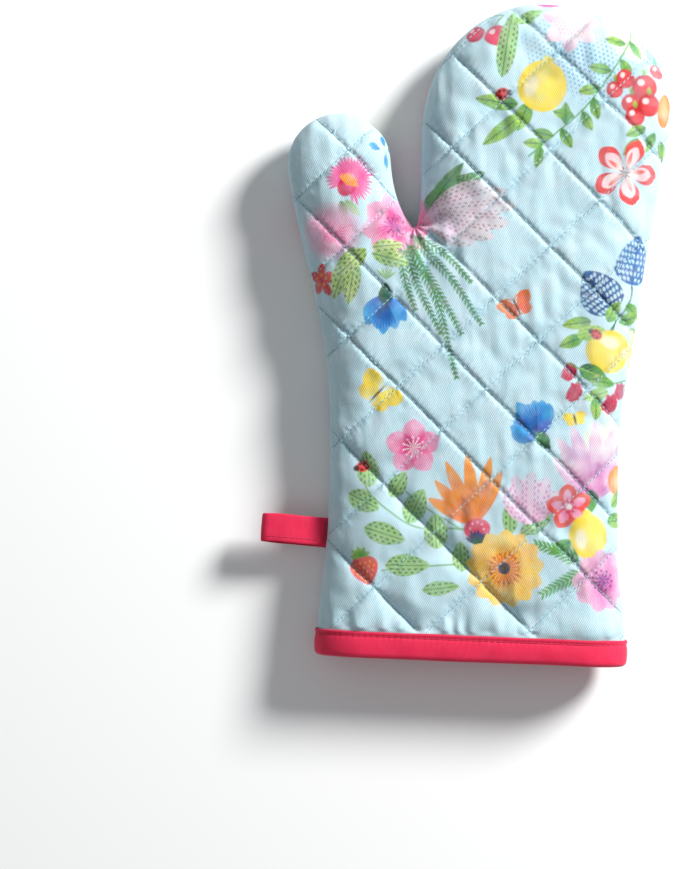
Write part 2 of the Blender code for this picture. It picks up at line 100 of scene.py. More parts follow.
def smooth_step(t):
    """A soft step from 0 to 1 as t goes from 0 to 1."""
    t = np.clip(t, 0, 1)
    return t * t * (3 - 2 * t)


def noise(points, size, seed):
    """Smooth value noise from 0 to 1, with features of that size."""
    table = np.random.default_rng(seed).random((64, 64))
    p = np.asarray(points, float)[:, :2] / size + 1000.0
    cell = np.floor(p).astype(int)
    f = smooth_step(p - cell)
    ix, iy = cell[:, 0], cell[:, 1]

    def corner(dx, dy):
        return table[(ix + dx) % 64, (iy + dy) % 64]

    low = corner(0, 0) * (1 - f[:, 0]) + corner(1, 0) * f[:, 0]
    high = corner(0, 1) * (1 - f[:, 0]) + corner(1, 1) * f[:, 0]
    return low * (1 - f[:, 1]) + high * f[:, 1]


# ---- Outline and plan of a panel -----------------------------------------------------------------

def arc_between(a, b, step):
    """Points along the curve from one node of the seam line to the next, without its last."""
    start, end = np.array(a[:2]), np.array(b[:2])
    chord = np.linalg.norm(end - start)
    turn = abs(math.radians(b[2] - a[2]))
    reach = chord / 3 if turn < 0.02 else chord * 2 / 3 * math.tan(turn / 4) / math.sin(turn / 2)
    leave = start + reach * np.array(heading(a[2]))
    arrive = end - reach * np.array(heading(b[2]))
    count = max(2, round(chord * (1 + turn * turn / 24) / step))
    t = np.arange(count)[:, None] / count
    return (start * (1 - t) ** 3 + 3 * leave * t * (1 - t) ** 2
            + 3 * arrive * t * t * (1 - t) + end * t ** 3)


def heading(turn):
    """Cosine and sine of an angle in degrees."""
    return math.cos(math.radians(turn)), math.sin(math.radians(turn))


def spline(guide, steps):
    """A smooth curve through guide's points but its first and last, and without its own last point."""
    made = []
    for a, b, c, d in zip(guide, guide[1:], guide[2:], guide[3:]):
        for t in np.arange(steps)[:, None] / steps:
            made.append(0.5 * (2 * b + (c - a) * t + (2 * a - 5 * b + 4 * c - d) * t ** 2
                               + (3 * b - a - 3 * c + d) * t ** 3))
    return np.array(made)


def unit(vectors):
    """Rows of vectors at length 1."""
    return vectors / np.linalg.norm(vectors, axis=1)[:, None]


def run_length(points):
    """How far along a line of points each of them lies."""
    return np.concatenate(([0], np.cumsum(np.linalg.norm(np.diff(points, axis=0), axis=1))))


def seam_line(step, crotch_step):
    """Points along the side seam, that far apart, and closer together round the crotch."""
    pieces = []
    for a, b in zip(SEAM_LINE, SEAM_LINE[1:]):
        pieces.append(arc_between(a, b, crotch_step if a[2] == CROTCH_HEADING else step))
    return np.vstack(pieces + [np.array([SEAM_LINE[-1][:2]])])


def seam_frame(step, crotch_step):
    """The side seam's points with the way into the mitt from each."""
    line = seam_line(step, crotch_step)
    ahead = np.gradient(line, axis=0)
    return line, unit(np.stack((ahead[:, 1], -ahead[:, 0]), 1))


EDGE = seam_line(1.0, 0.3)
BEYOND_HEM = (0, 80)      # the seam's line is carried on past the hem, so that distances don't turn there
EDGE = np.vstack((EDGE[0] - BEYOND_HEM, EDGE, EDGE[-1] - BEYOND_HEM))


def edge_distance(points):
    """Distance from the side seam, and the way that leads from the seam to each point."""
    starts, spans = EDGE[:-1], np.diff(EDGE, axis=0)
    square = (spans ** 2).sum(1)
    distance, way = np.empty(len(points)), np.empty((len(points), 2))
    batch, too_near = 2000, 0.2
    for i in range(0, len(points), batch):
        p = points[i:i + batch]
        share = np.clip(((p[:, None] - starts) * spans).sum(2) / square, 0, 1)
        apart = p[:, None] - (starts + share[..., None] * spans)
        length = np.linalg.norm(apart, axis=2)
        nearest = length.argmin(1)
        rows = np.arange(len(p))
        across = unit(np.stack((spans[nearest, 1], -spans[nearest, 0]), 1))
        d = length[rows, nearest][:, None]
        away = apart[rows, nearest]
        outside = (away * across).sum(1) < 0
        distance[i:i + batch] = np.where(outside & (d[:, 0] < 1), 0, d[:, 0])
        way[i:i + batch] = np.where((d < too_near) | outside[:, None], across, away / np.maximum(d, too_near))
    return distance, way


def inside(points, ring):
    """Which points lie inside a closed ring."""
    x, y = points[:, 0], points[:, 1]
    odd = np.zeros(len(points), bool)
    for (x0, y0), (x1, y1) in zip(ring, np.roll(ring, -1, axis=0)):
        if y0 != y1:
            odd ^= ((y0 > y) != (y1 > y)) & (x < (x1 - x0) * (y - y0) / (y1 - y0) + x0)
    return odd


def curl_depth(angles):
    """Distance from the seam in plan at an angle up the curled side."""
    return SIDE_ROUND * (1 - np.cos(angles))


def curl_angle(distance):
    """The angle up the curled side at a distance from the seam in plan."""
    return np.arccos(np.clip(1 - distance / SIDE_ROUND, 0, 1))


def rise_at(y):
    """Height of the panel's grooves over the seam's plane, a little more near the cuff."""
    return PANEL_RISE + (CUFF_RISE - PANEL_RISE) * (1 - smooth_step((y - CUFF_TOP) / CUFF_BLEND))


def with_crossings(ring, near=0.8):
    """A line of points with its crossings of the quilting put in, and points close to them left out."""
    made = []
    for a, b in zip(ring, ring[1:]):
        found = []
        for way, offset, _ in QUILT_LINES:
            before, after = way @ a - offset, way @ b - offset
            if before * after < 0:
                found.append(before / (before - after))
        made.append((a, False))
        made += [(a + t * (b - a), True) for t in sorted(found)]
    made.append((ring[-1], False))
    crossings = np.array([p for p, crossing in made if crossing])
    last = len(made) - 1
    return np.array([p for i, (p, crossing) in enumerate(made) if crossing or i in (0, last)
                     or not len(crossings) or np.linalg.norm(crossings - p, axis=1).min() > near])


def quilt_points(outline, rings):
    """Each quilting line's points in order, with its crossings of the rings and the other lines."""
    runs = []
    for way, offset, family in QUILT_LINES:
        along = np.array((way[1], -way[0]))
        marks = []
        for ring in rings + [outline]:
            value = ring @ way - offset
            marks += list((ring @ along)[np.abs(value) < 1e-6])
        for other, other_offset, other_family in QUILT_LINES:
            if other_family != family:
                node = np.linalg.solve(np.array((way, other)), (offset, other_offset))
                marks.append(node @ along)
        marks = np.array(sorted(marks))
        kept = [marks[0]]
        for m in marks[1:]:
            if m - kept[-1] > 0.05:
                kept.append(m)
        for a, b in zip(kept, kept[1:]):
            middle = way * offset + along * (a + b) / 2
            if inside(middle[None], outline)[0]:
                count = max(1, round((b - a) / GRID))
                ts = np.linspace(a, b, count + 1)
                runs.append(way * offset + along * ts[:, None])
    return runs


def panel_plan():
    """Points and triangles of a panel seen from above, with the rings of its curled side as edges."""
    rim, normal = seam_frame(2.6, 0.35)
    normal[0], normal[-1] = (1, 0), (-1, 0)
    rings = [with_crossings(rim + normal * d) for d in curl_depth(RING_ANGLES)]
    hem_x = [r[0][0] for r in rings] + [r[-1][0] for r in rings[::-1]]
    span = np.linspace(rings[-1][0][0], rings[-1][-1][0], HEM_POINTS)[1:-1]
    hem = with_crossings(np.array([(x, HEM_START) for x in sorted(set(hem_x) | set(span))]))
    outline = np.vstack((rings[0], hem[::-1][1:-1]))
    deepest = curl_depth(RING_ANGLES[-1])

    low, high = outline.min(0), outline.max(0)
    rows = np.arange(low[1] + GRID * 0.7, high[1], GRID * 0.866)
    lattice = np.array([(x + (i % 2) * GRID / 2, y) for i, y in enumerate(rows)
                        for x in np.arange(low[0], high[0], GRID)])
    lattice = lattice[inside(lattice, outline)]
    distance, _ = edge_distance(lattice)
    apart = np.min([np.abs(lattice @ way - offset) for way, offset, _ in QUILT_LINES], axis=0)
    lattice = lattice[(distance > deepest + CLEAR_OF_RING) & (apart > CLEAR_OF_QUILTING)]

    points, edges = [], []

    def add_run(run, closed=False):
        start = len(points)
        points.extend(map(tuple, run))
        edges.extend((start + i, start + i + 1) for i in range(len(run) - 1))
        if closed:
            edges.append((start + len(run) - 1, start))

    add_run(outline, closed=True)
    for ring in rings[1:]:
        add_run(ring)
    for run in quilt_points(outline, rings):
        add_run(run)
    points.extend(map(tuple, lattice))
    made, _, faces, *_ = delaunay_2d_cdt([Vector(p) for p in points], edges, [], 1, 0.08)
    return np.array([tuple(v) for v in made]), [tuple(f) for f in faces]


RIM_ERROR = 0.12          # a point this near the seam line lies on it

PLAN, FACES = panel_plan()
DISTANCE, WAY = edge_distance(PLAN)
DISTANCE[DISTANCE < RIM_ERROR] = 0
CURL = curl_angle(DISTANCE)
RISE = rise_at(PLAN[:, 1])
ON_LINE = np.array([np.abs(PLAN @ way - offset) < 0.03 for way, offset, _ in QUILT_LINES])


def curl_arc(curl, rise):
    """Length round the curled side from the crown down to that angle, less its width in plan."""
    steps = np.linspace(0, 1, 40)[:, None]
    angles = curl + (np.pi / 2 - curl) * steps
    speed = np.hypot(SIDE_ROUND * np.sin(angles), rise * np.cos(angles))
    length = ((speed[1:] + speed[:-1]) / 2 * np.diff(angles, axis=0)).sum(0)
    return length - SIDE_ROUND * np.cos(curl)


def flat_place(points):
    """Where points of the plan lie on the cloth when its curled side is laid flat."""
    distance, way = edge_distance(points)
    return points - way * curl_arc(curl_angle(distance), np.full(len(points), PANEL_RISE))[:, None]


FLAT = PLAN - WAY * curl_arc(CURL, RISE)[:, None]


def layer(depth):
    """The panel's points as a dome, that deep under its face."""
    across, up = np.cos(CURL) / SIDE_ROUND, np.sin(CURL) / RISE
    size = np.hypot(across, up)
    across, up = across / size, up / size
    plan = PLAN + WAY * (depth * across)[:, None]
    height = RISE * np.sin(CURL) - depth * up
    return np.column_stack((plan, np.maximum(height, 0)))


# ---- Meshes --------------------------------------------------------------------------------------

def make_object(name, points, faces, smooth=True):
    """A new object in the scene, from points in metres."""
    mesh = bpy.data.meshes.new(name)
    mesh.from_pydata([tuple(p) for p in np.asarray(points, float)], [], faces)
    mesh.update()
    if smooth:
        mesh.shade_smooth()
    obj = bpy.data.objects.new(name, mesh)
    scene.collection.objects.link(obj)
    return obj


def read(mesh, rows, name):
    """One vector for each of a mesh's points."""
    out = np.empty(len(mesh.vertices) * 3, np.float32)
    rows.foreach_get(name, out)
    return out.reshape(-1, 3).astype(float)


def coordinates(mesh):
    return read(mesh, mesh.vertices, "co")


def normals(mesh):
    return read(mesh, mesh.vertex_normals, "vector")


def set_coordinates(mesh, points):
    mesh.vertices.foreach_set("co", np.asarray(points, np.float32).ravel())
    mesh.update()


def add_vector_attribute(mesh, name, values):
    attribute = mesh.attributes.new(name, "FLOAT_VECTOR", "POINT")
    data = np.zeros((len(mesh.vertices), 3), np.float32)
    data[:, :values.shape[1]] = values
    attribute.data.foreach_set("vector", data.ravel())


def read_vector_attribute(mesh, name):
    return read(mesh, mesh.attributes[name].data, "vector")


def subdivided(obj, levels):
    """The object's mesh, subdivided for good that many times."""
    finer = obj.modifiers.new("Finer", "SUBSURF")
    finer.levels = finer.render_levels = levels
    finer.boundary_smooth = "PRESERVE_CORNERS"
    graph = bpy.context.evaluated_depsgraph_get()
    mesh = bpy.data.meshes.new_from_object(obj.evaluated_get(graph))
    obj.modifiers.clear()
    old, obj.data = obj.data, mesh
    bpy.data.meshes.remove(old)
    mesh.name = obj.name
    mesh.shade_smooth()
    return mesh


# ---- Quilted panels ------------------------------------------------------------------------------

CLOTH_SCALE = 0.01        # the cloth is simulated at ten times its size: millimetres to this unit
CLOTH_FRAMES = 24
MOST_PUFF = 4.4           # the furthest that a point of the cloth moves
# By side: the front may stand proud of the CAD part's face, the back lies on the floor
MOST_RISE = {1: 18.9, -1: 17.6}   # height of the simulated cloth
FREE_RISE = {1: 22.0, -1: 18.1}   # height with its folds
GROOVE_CREASE = (0.85, 0.5)       # sharpness of the falling and the rising lines' edges
# For falling and rising lines: groove's depth, trough's depth, width and height and pitch of the puckers
PUCKERS = ((0.55, 0.55, 3.2, 0.24, 3.1), (0.42, 0.40, 3.0, 0.09, 3.6))


def line_distance(points, family):
    way, offsets = (FALLING, RISING)[family]
    value = points[:, :2] @ np.array(way)
    apart = np.abs(value[:, None] - np.array(offsets))
    return apart.min(1)


def relaxed(shift, free, rounds=3):
    """The cloth's movement with its smallest creases evened out, as wadding under it does."""
    ends = np.array([(f[i], f[(i + 1) % 3]) for f in FACES for i in range(3)])
    count = np.bincount(ends[:, 0], minlength=len(shift))[:, None]
    for _ in range(rounds):
        total = np.zeros_like(shift)
        np.add.at(total, ends[:, 0], shift[ends[:, 1]])
        mean = total / np.maximum(count, 1)
        shift = np.where(free[:, None], 0.4 * shift + 0.6 * mean, shift)
    return shift


def simulated(side, slack, seed):
    """The panel's cloth, held down along its quilting, seam and hem, and blown up between them."""
    base = layer(0.0)
    free = ~(ON_LINE.any(0) | (DISTANCE < 0.01) | (PLAN[:, 1] < CUFF_TOP + 0.5))
    start = base.copy()
    start[:, 2] += np.where(free, 0.5 + 0.35 * (noise(PLAN, 4.0, seed) - 0.5), 0)
    obj = make_object("cloth", start * CLOTH_SCALE, FACES)
    pins = obj.vertex_groups.new(name="pins")
    pins.add([int(i) for i in np.flatnonzero(~free)], 1.0, "REPLACE")
    cloth = obj.modifiers.new("Cloth", "CLOTH")
    settings = cloth.settings
    settings.quality = 6
    settings.mass = 0.1
    settings.tension_stiffness = settings.compression_stiffness = 12
    settings.shear_stiffness = 4
    settings.bending_stiffness = 2.5
    settings.tension_damping = settings.compression_damping = settings.shear_damping = 5
    settings.vertex_group_mass = "pins"
    settings.shrink_min = -slack
    settings.use_pressure = True
    settings.uniform_pressure_force = 13.0
    settings.effector_weights.gravity = 0
    cloth.point_cache.frame_start = 1
    cloth.point_cache.frame_end = CLOTH_FRAMES
    for step in range(1, CLOTH_FRAMES + 1):
        scene.frame_set(step)
    graph = bpy.context.evaluated_depsgraph_get()
    moved = coordinates(obj.evaluated_get(graph).data) / CLOTH_SCALE
    bpy.data.objects.remove(obj)
    scene.frame_set(1)
    shift = moved - base
    length = np.linalg.norm(shift, axis=1)
    shift *= np.minimum(1, MOST_PUFF / np.maximum(length, 1e-6))[:, None]
    face = base + relaxed(shift, free)
    face[:, 2] = np.minimum(face[:, 2], MOST_RISE[side])
    return face


def panel(name, side, face, seed):
    """One panel's cloth: face is its simulated points. Side is 1 for the front, -1 for the back."""
    obj = make_object(name, face, FACES)
    mesh = obj.data
    add_vector_attribute(mesh, "flat", FLAT)
    add_vector_attribute(mesh, "seam_distance", DISTANCE[:, None])
    ends = np.empty(len(mesh.edges) * 2, np.int32)
    mesh.edges.foreach_get("vertices", ends)
    a, b = ends.reshape(-1, 2).T
    crease = np.zeros(len(mesh.edges), np.float32)
    for row, (_, _, family) in zip(ON_LINE, QUILT_LINES):
        crease[row[a] & row[b]] = GROOVE_CREASE[family]
    mesh.attributes.new("crease_edge", "FLOAT", "EDGE").data.foreach_set("value", crease)
    mesh = subdivided(obj, 2)
    pucker(mesh, seed)
    points = coordinates(mesh)
    points[:, 2] = np.clip(points[:, 2], 0.05, FREE_RISE[side])
    points[:, 2] *= side
    set_coordinates(mesh, world(points))
    if side < 0:
        mesh.flip_normals()
    return obj


def pucker(mesh, seed):
    """Moves the cloth's points along its normals: stitched grooves, puckers beside them and folds."""
    points, out = coordinates(mesh), normals(mesh)
    flat = read_vector_attribute(mesh, "flat")[:, :2]
    distance = read_vector_attribute(mesh, "seam_distance")[:, 0]
    mesh.attributes.remove(mesh.attributes["seam_distance"])
    shift, dip = np.zeros(len(points)), np.zeros(len(points))
    body = smooth_step((points[:, 1] - CUFF_TOP) / 3)
    top = 0.35 + 0.65 * smooth_step((distance - 2) / 9)
    for family, (way, offsets) in enumerate((FALLING, RISING)):
        value = flat @ np.array(way)
        along = flat @ np.array((way[1], -way[0]))
        apart = value[:, None] - np.array(offsets)
        nearest = np.abs(apart).argmin(1)
        apart = np.abs(apart[np.arange(len(points)), nearest])
        depth, trough, reach, height, pitch = PUCKERS[family]
        sway = noise(np.column_stack((along, nearest * 40.0)), 11.0, seed + 5 + family)
        wave = np.cos(2 * np.pi * (along / pitch + 1.5 * sway))
        strength = 0.35 + 1.1 * noise(np.column_stack((along, nearest * 60.0)), 7.0, seed + 9 + family)
        fade = np.exp(-(apart / reach) ** 2) * (1 - np.exp(-(apart / 0.7) ** 2))
        shift += height * strength * fade * wave
        dip = np.maximum(dip, depth * np.exp(-(apart / 0.8) ** 2) + trough * np.exp(-(apart / 1.7) ** 2))
    shift = (shift - dip) * top
    ripple = noise(flat * (1.0, 0.26) + flat[:, ::-1] * (0.1, 0), 4.6, seed + 20) - 0.5
    fine = noise(flat * (1.0, 0.6), 2.6, seed + 21) - 0.5
    wide = noise(flat, 17.0, seed + 22) - 0.5
    shift += 1.1 * ripple * (0.3 + noise(flat, 26.0, seed + 25)) + 0.12 * fine + 0.8 * wide
    from_crotch = points[:, :2] - CROTCH
    radius = np.linalg.norm(from_crotch, axis=1)
    angle = np.arctan2(from_crotch[:, 1], from_crotch[:, 0])
    spread = np.exp(-((radius - 4) / 22) ** 2) * smooth_step(radius / 6)
    shift += 1.0 * spread * np.cos(angle * 9 + 2.5 * noise(points, 14.0, seed + 23))
    above = np.maximum(points[:, 1] - CUFF_TOP, 0)
    gather = np.exp(-(above / 9) ** 2) * smooth_step(above / 2)
    folds = np.cos(2 * np.pi * (points[:, 0] / 12 + noise(points, 16.0, seed + 24)))
    shift += 0.7 * gather * folds * smooth_step(noise(points * (1, 0, 0), 34.0, seed + 26) * 1.6 - 0.3)
    shift *= body * smooth_step(distance / 2.5)
    set_coordinates(mesh, points + out * shift[:, None])


def planar_map(mesh, flat):
    """A flat map of the cloth for baking, in the unit square."""
    low, high = flat.min(0), flat.max(0)
    place = 0.01 + 0.98 * (flat - low) / (high - low).max()
    corners = np.empty(len(mesh.loops), np.int32)
    mesh.loops.foreach_get("vertex_index", corners)
    unwrapped = mesh.uv_layers.new(name="OFBake")
    unwrapped.data.foreach_set("uv", place[corners].astype(np.float32).ravel())


# ---- Print ---------------------------------------------------------------------------------------

def tone(red, green, blue):
    """An sRGB colour, each part out of 255, in linear light."""
    c = np.array((red, green, blue)) / 255
    return np.where(c <= 0.04045, c / 12.92, ((c + 0.055) / 1.055) ** 2.4)


CLOTH = tone(202, 233, 243)
WHITE, CREAM = tone(250, 250, 248), tone(250, 240, 200)
PINK, HOT_PINK, PALE_PINK = tone(240, 100, 165), tone(232, 45, 130), tone(248, 195, 220)
LILAC, PURPLE, MAUVE = tone(215, 180, 222), tone(128, 50, 140), tone(205, 120, 190)
RED, CRIMSON, CORAL = tone(226, 42, 48), tone(205, 28, 70), tone(245, 95, 75)
ORANGE, AMBER, PEACH = tone(244, 130, 40), tone(248, 175, 50), tone(252, 190, 130)
YELLOW, LEMON = tone(252, 218, 50), tone(253, 234, 90)
BLUE, SKY, NAVY = tone(20, 115, 215), tone(75, 175, 235), tone(35, 50, 110)
TURQUOISE = tone(105, 200, 215)
GREEN, LIME, DARK_GREEN = tone(90, 160, 65), tone(165, 205, 85), tone(38, 100, 62)
SAGE, MINT, BROWN = tone(130, 180, 120), tone(185, 220, 165), tone(75, 45, 35)


def mix(a, b, t):
    """Colours from a to b as t goes from 0 to 1."""
    t = np.clip(t, 0, 1)[:, None]
    return a * (1 - t) + b * t


def soft(inside_by, edge=0.45):
    """Cover of a shape with a soft edge, by how far inside it a point lies."""
    return np.clip(0.5 + inside_by / edge, 0, 1)


class Print:
    """Watercolour motifs of generic flowers, fruit and leaves on a panel's points."""

    def __init__(self, flat, seed):
        self.flat = flat
        self.order = np.argsort(flat[:, 0], kind="stable")
        self.x = flat[self.order, 0]
        self.colour = np.tile(CLOTH, (len(flat), 1))
        self.wash = noise(flat, 4.0, seed)
        self.grain = noise(flat, 1.0, seed + 1)
        self.random = np.random.default_rng(seed)

    def spot(self, x, y, reach, turn=0.0):
        """Points within reach of a place on the plan, with how far along and across they lie."""
        x, y = flat_place(np.array(((x, y),)))[0]
        low, high = np.searchsorted(self.x, (x - reach, x + reach))
        index = self.order[low:high]
        apart = self.flat[index] - (x, y)
        near = np.abs(apart[:, 1]) < reach
        index, apart = index[near], apart[near]
        c, s = heading(turn)
        return index, apart[:, 0] * c + apart[:, 1] * s, apart[:, 1] * c - apart[:, 0] * s

    def lay(self, index, cover, colour):
        """Paints points with a colour, by how much of each is covered."""
        cover = np.clip(cover, 0, 1)[:, None]
        self.colour[index] = self.colour[index] * (1 - cover) + colour * cover

    def oval(self, x, y, a, b=None, turn=0.0, inner=RED, outer=None, strength=0.95, edge=0.5):
        """An oval or a disc that shades from its middle out."""
        b, outer = b or a, inner if outer is None else outer
        index, u, v = self.spot(x, y, max(a, b) + 1, turn)
        r = np.hypot(u / a, v / b)
        shade = r ** 1.5 + 0.7 * (self.wash[index] - 0.5)
        self.lay(index, soft((1 - r) * min(a, b), edge) * strength, mix(inner, outer, shade))

    def petal_form(self, x, y, length, width, turn, peak):
        """Points round a petal: along and across it, share of its length, and how far they lie inside."""
        index, u, v = self.spot(x, y, length + 1, turn)
        t = np.clip(u / length, 0, 1)
        half = width / 2 * np.sin(np.pi * t ** peak) ** 0.7
        return index, u, v, t, np.minimum(half - np.abs(v), np.minimum(u, length - u))

    def petal(self, x, y, length, width, turn, base, tip, peak=0.8, rib=None, dashes=None,
              strength=0.95, streaks=0.0):
        """A petal or leaf that starts at x, y and points that way."""
        index, u, v, t, inner = self.petal_form(x, y, length, width, turn, peak)
        colour = mix(base, tip, t + 0.8 * (self.wash[index] - 0.5))
        if streaks:
            line = np.cos(v / width * 34 + 3 * self.wash[index]) > 0.3
            colour = mix(colour, colour * 0.72, streaks * line * (1 - 0.4 * t))
        if dashes is not None:
            row = np.round((np.abs(v) - 0.3) / 1.7)
            beside = np.abs(np.abs(v) - 0.3 - 1.7 * row)
            place = np.abs((u / 3.0 + 0.5 * row + 0.25 * (v > 0)) % 1 - 0.5)
            mark = soft(0.42 - beside, 0.4) * soft(0.24 - place, 0.12) * (row > 0)
            colour = mix(colour, dashes, 0.9 * mark)
        if rib is not None:
            colour = mix(colour, rib, 0.85 * soft(0.28 - np.abs(v), 0.35))
            vein = np.abs(((u - np.abs(v) * 1.1) / 2.6) % 1 - 0.5)
            colour = mix(colour, rib, 0.4 * (vein < 0.09))
        self.lay(index, soft(inner) * strength, colour)

    def leaf(self, x, y, length, width, turn, peak=0.8):
        """A green leaf with a dark rib and veins."""
        self.petal(x, y, length, width, turn, GREEN, LIME, peak=peak, rib=DARK_GREEN)

    def outline_petal(self, x, y, length, width, turn, colour, line=0.45):
        """A petal's outline only."""
        index, _, _, _, inner = self.petal_form(x, y, length, width, turn, 0.8)
        self.lay(index, soft(line - np.abs(inner), 0.3) * 0.9, colour)

    def flower(self, x, y, r, count, inner, outer, turn=0.0, width=0.8, streaks=0.3):
        """Petals all round."""
        for i in range(count):
            self.petal(x, y, r, r * width, turn + 360 * i / count, inner, outer, peak=1.25,
                       streaks=streaks)

    def stamens(self, x, y, r, count, colour, dot=0.55, turn=0.0):
        """A ring of dots."""
        for i in range(count):
            way = math.radians(turn + 360 * i / count)
            self.oval(x + r * math.cos(way), y + r * math.sin(way), dot, inner=colour, edge=0.4)

    def fan(self, x, y, r, turn, spread, count, inner, outer, width=0.3, ragged=0.15, streaks=0.3):
        """Petals that open from one point to both sides of a way."""
        ways = list(np.linspace(-1, 1, count))
        for share in sorted(ways, key=abs, reverse=True):
            length = r * (1 - ragged * self.random.random() - 0.12 * abs(share))
            self.petal(x, y, length, r * width, turn + spread * share, inner, outer, peak=1.5,
                       streaks=streaks)

    def fringe(self, x, y, r, count, inner, outer, turn=0.0, spread=180.0, start=0.25, width=0.5):
        """Fine strokes like a thistle's head."""
        for i in range(count):
            way = turn + spread * (2 * (i + 0.5) / count - 1)
            length = r * (0.78 + 0.22 * self.random.random())
            c, s = heading(way)
            self.petal(x + start * r * c, y + start * r * s, length - start * r, width * 2, way, inner,
                       outer, peak=1.4)

    def stem(self, places, width, colour):
        """A smooth line through places."""
        places = np.array([flat_place(np.array((p,)))[0] for p in places])
        guide = np.vstack((2 * places[0] - places[1], places, 2 * places[-1] - places[-2]))
        line = np.vstack((spline(guide, 12), guide[-2]))
        low, high = np.searchsorted(self.x, (line[:, 0].min() - 1, line[:, 0].max() + 1))
        index = self.order[low:high]
        height = self.flat[index, 1]
        index = index[(height > line[:, 1].min() - 1) & (height < line[:, 1].max() + 1)]
        best = np.full(len(index), 9.0)
        for a, b in zip(line, line[1:]):
            span = b - a
            share = np.clip((self.flat[index] - a) @ span / max(span @ span, 1e-9), 0, 1)
            best = np.minimum(best, np.linalg.norm(self.flat[index] - a - share[:, None] * span, axis=1))
        self.lay(index, soft(width / 2 - best, 0.4) * 0.92, colour)

    def spray(self, places, width, colour, leaf_length, leaf_width, leaf, gap=3.0):
        """A stem with small leaves in pairs along it."""
        self.stem(places, width, colour)
        places = np.array(places, float)
        spans = np.diff(places, axis=0)
        lengths = np.linalg.norm(spans, axis=1)
        total, at = lengths.sum(), gap
        while at < total:
            k = int(np.searchsorted(np.cumsum(lengths), at))
            share = (at - lengths[:k].sum()) / lengths[k]
            x, y = places[k] + spans[k] * share
            way = math.degrees(math.atan2(spans[k][1], spans[k][0]))
            size = leaf_length * (1.05 - 0.55 * at / total)
            for side in (-1, 1):
                self.petal(x, y, size, leaf_width, way + side * 42, leaf, leaf * 1.15)
            at += gap

    def bead(self, x, y, r, colour, shine=WHITE):
        """A round berry."""
        self.oval(x, y, r, inner=colour * 1.15, outer=colour * 0.72)
        self.oval(x - 0.3 * r, y + 0.35 * r, r * 0.28, inner=shine, strength=0.75)

    def bramble(self, x, y, a, b, turn, colour):
        """A berry made of small drupelets."""
        self.oval(x, y, a, b, turn, colour * 0.6, colour * 0.75)
        c, s = heading(turn)
        size = 0.24 * b
        for row in np.arange(-a + size, a, size * 1.75):
            half = b * math.sqrt(max(0.0, 1 - (row / a) ** 2))
            for across in np.arange(-half + size * 0.8, half, size * 1.9):
                u, v = row, across + (size * 0.5 if int(round(row / size)) % 2 else 0)
                self.bead(x + u * c - v * s, y + u * s + v * c, size, colour, PINK)

    def strawberry(self, x, y, length, turn):
        """A seeded fruit whose tip points that way, with its crown."""
        c, s = heading(turn)
        bx, by = x - c * length / 2, y - s * length / 2
        self.petal(bx, by, length, length * 0.95, turn, CORAL, RED, peak=0.62)
        for row in range(1, 6):
            for place in range(-2, 3):
                u = length * (0.08 + 0.15 * row)
                v = length * 0.17 * (place + 0.5 * (row % 2))
                if abs(v) < 0.42 * length * math.sin(math.pi * (u / length) ** 0.62):
                    self.oval(bx + u * c - v * s, by + u * s + v * c, 0.42, 0.3, turn, YELLOW)
        for way in (-78, -40, 0, 40, 78):
            self.petal(bx, by, length * 0.36, length * 0.17, turn + 180 + way, GREEN, LIME)

    def lemon(self, x, y, a, b, turn, light=LEMON, dark=tone(244, 214, 58)):
        """A round yellow fruit with pores and a shine."""
        self.oval(x, y, a, b, turn, light, dark)
        c, s = heading(turn)
        self.oval(x + a * c, y + a * s, b * 0.22, inner=dark, outer=light)
        index, u, v = self.spot(x, y, max(a, b), turn)
        r = np.hypot(u / a, v / b)
        pores = (noise(self.flat[index], 1.3, 77) > 0.72) & (r < 0.9)
        self.lay(index, 0.35 * pores, dark)
        shine = soft((0.42 - np.hypot((u + 0.1 * a) / a, (v - 0.42 * b) / b * 1.6)) * b, 2.5)
        self.lay(index, 0.55 * shine * (r < 1), WHITE)

    def butterfly(self, x, y, size, turn, wing, edge, hollow=False):
        """Four wings and a body that points that way."""
        for way, length, width in ((62, 0.62, 0.42), (-62, 0.62, 0.42), (118, 0.45, 0.38),
                                   (-118, 0.45, 0.38)):
            if not hollow:
                self.petal(x, y, size * length, size * width, turn + way, wing, edge, peak=1.5)
            self.outline_petal(x, y, size * length, size * width, turn + way, edge, 0.3)
            if hollow:
                self.outline_petal(x, y, size * length * 0.6, size * width * 0.6, turn + way, edge, 0.3)
        self.oval(x, y, size * 0.26, 0.55, turn, BROWN if not hollow else edge)

    def ladybird(self, x, y, r, turn):
        """A small spotted beetle."""
        c, s = heading(turn)
        self.oval(x, y, r, r * 0.85, turn, RED, RED * 0.8)
        self.oval(x + r * c, y + r * s, r * 0.42, inner=BROWN * 0.4)
        for u, v in ((0.3, 0.42), (0.3, -0.42), (-0.35, 0.42), (-0.35, -0.42)):
            self.oval(x + r * (u * c - v * s), y + r * (u * s + v * c), r * 0.2, inner=BROWN * 0.3)

    def dots(self, x, y, a, b, turn, colour, pitch=2.1, dot=0.55):
        """A field of small dots that thins out at its edge."""
        c, s = heading(turn)
        for i, v in enumerate(np.arange(-b, b, pitch * 0.87)):
            for u in np.arange(-a, a, pitch):
                u = u + (pitch / 2 if i % 2 else 0)
                r = math.hypot(u / a, v / b)
                if r < 1 - 0.25 * self.random.random():
                    self.oval(x + u * c - v * s, y + u * s + v * c, dot * (1.1 - 0.5 * r), inner=colour,
                              strength=0.8)

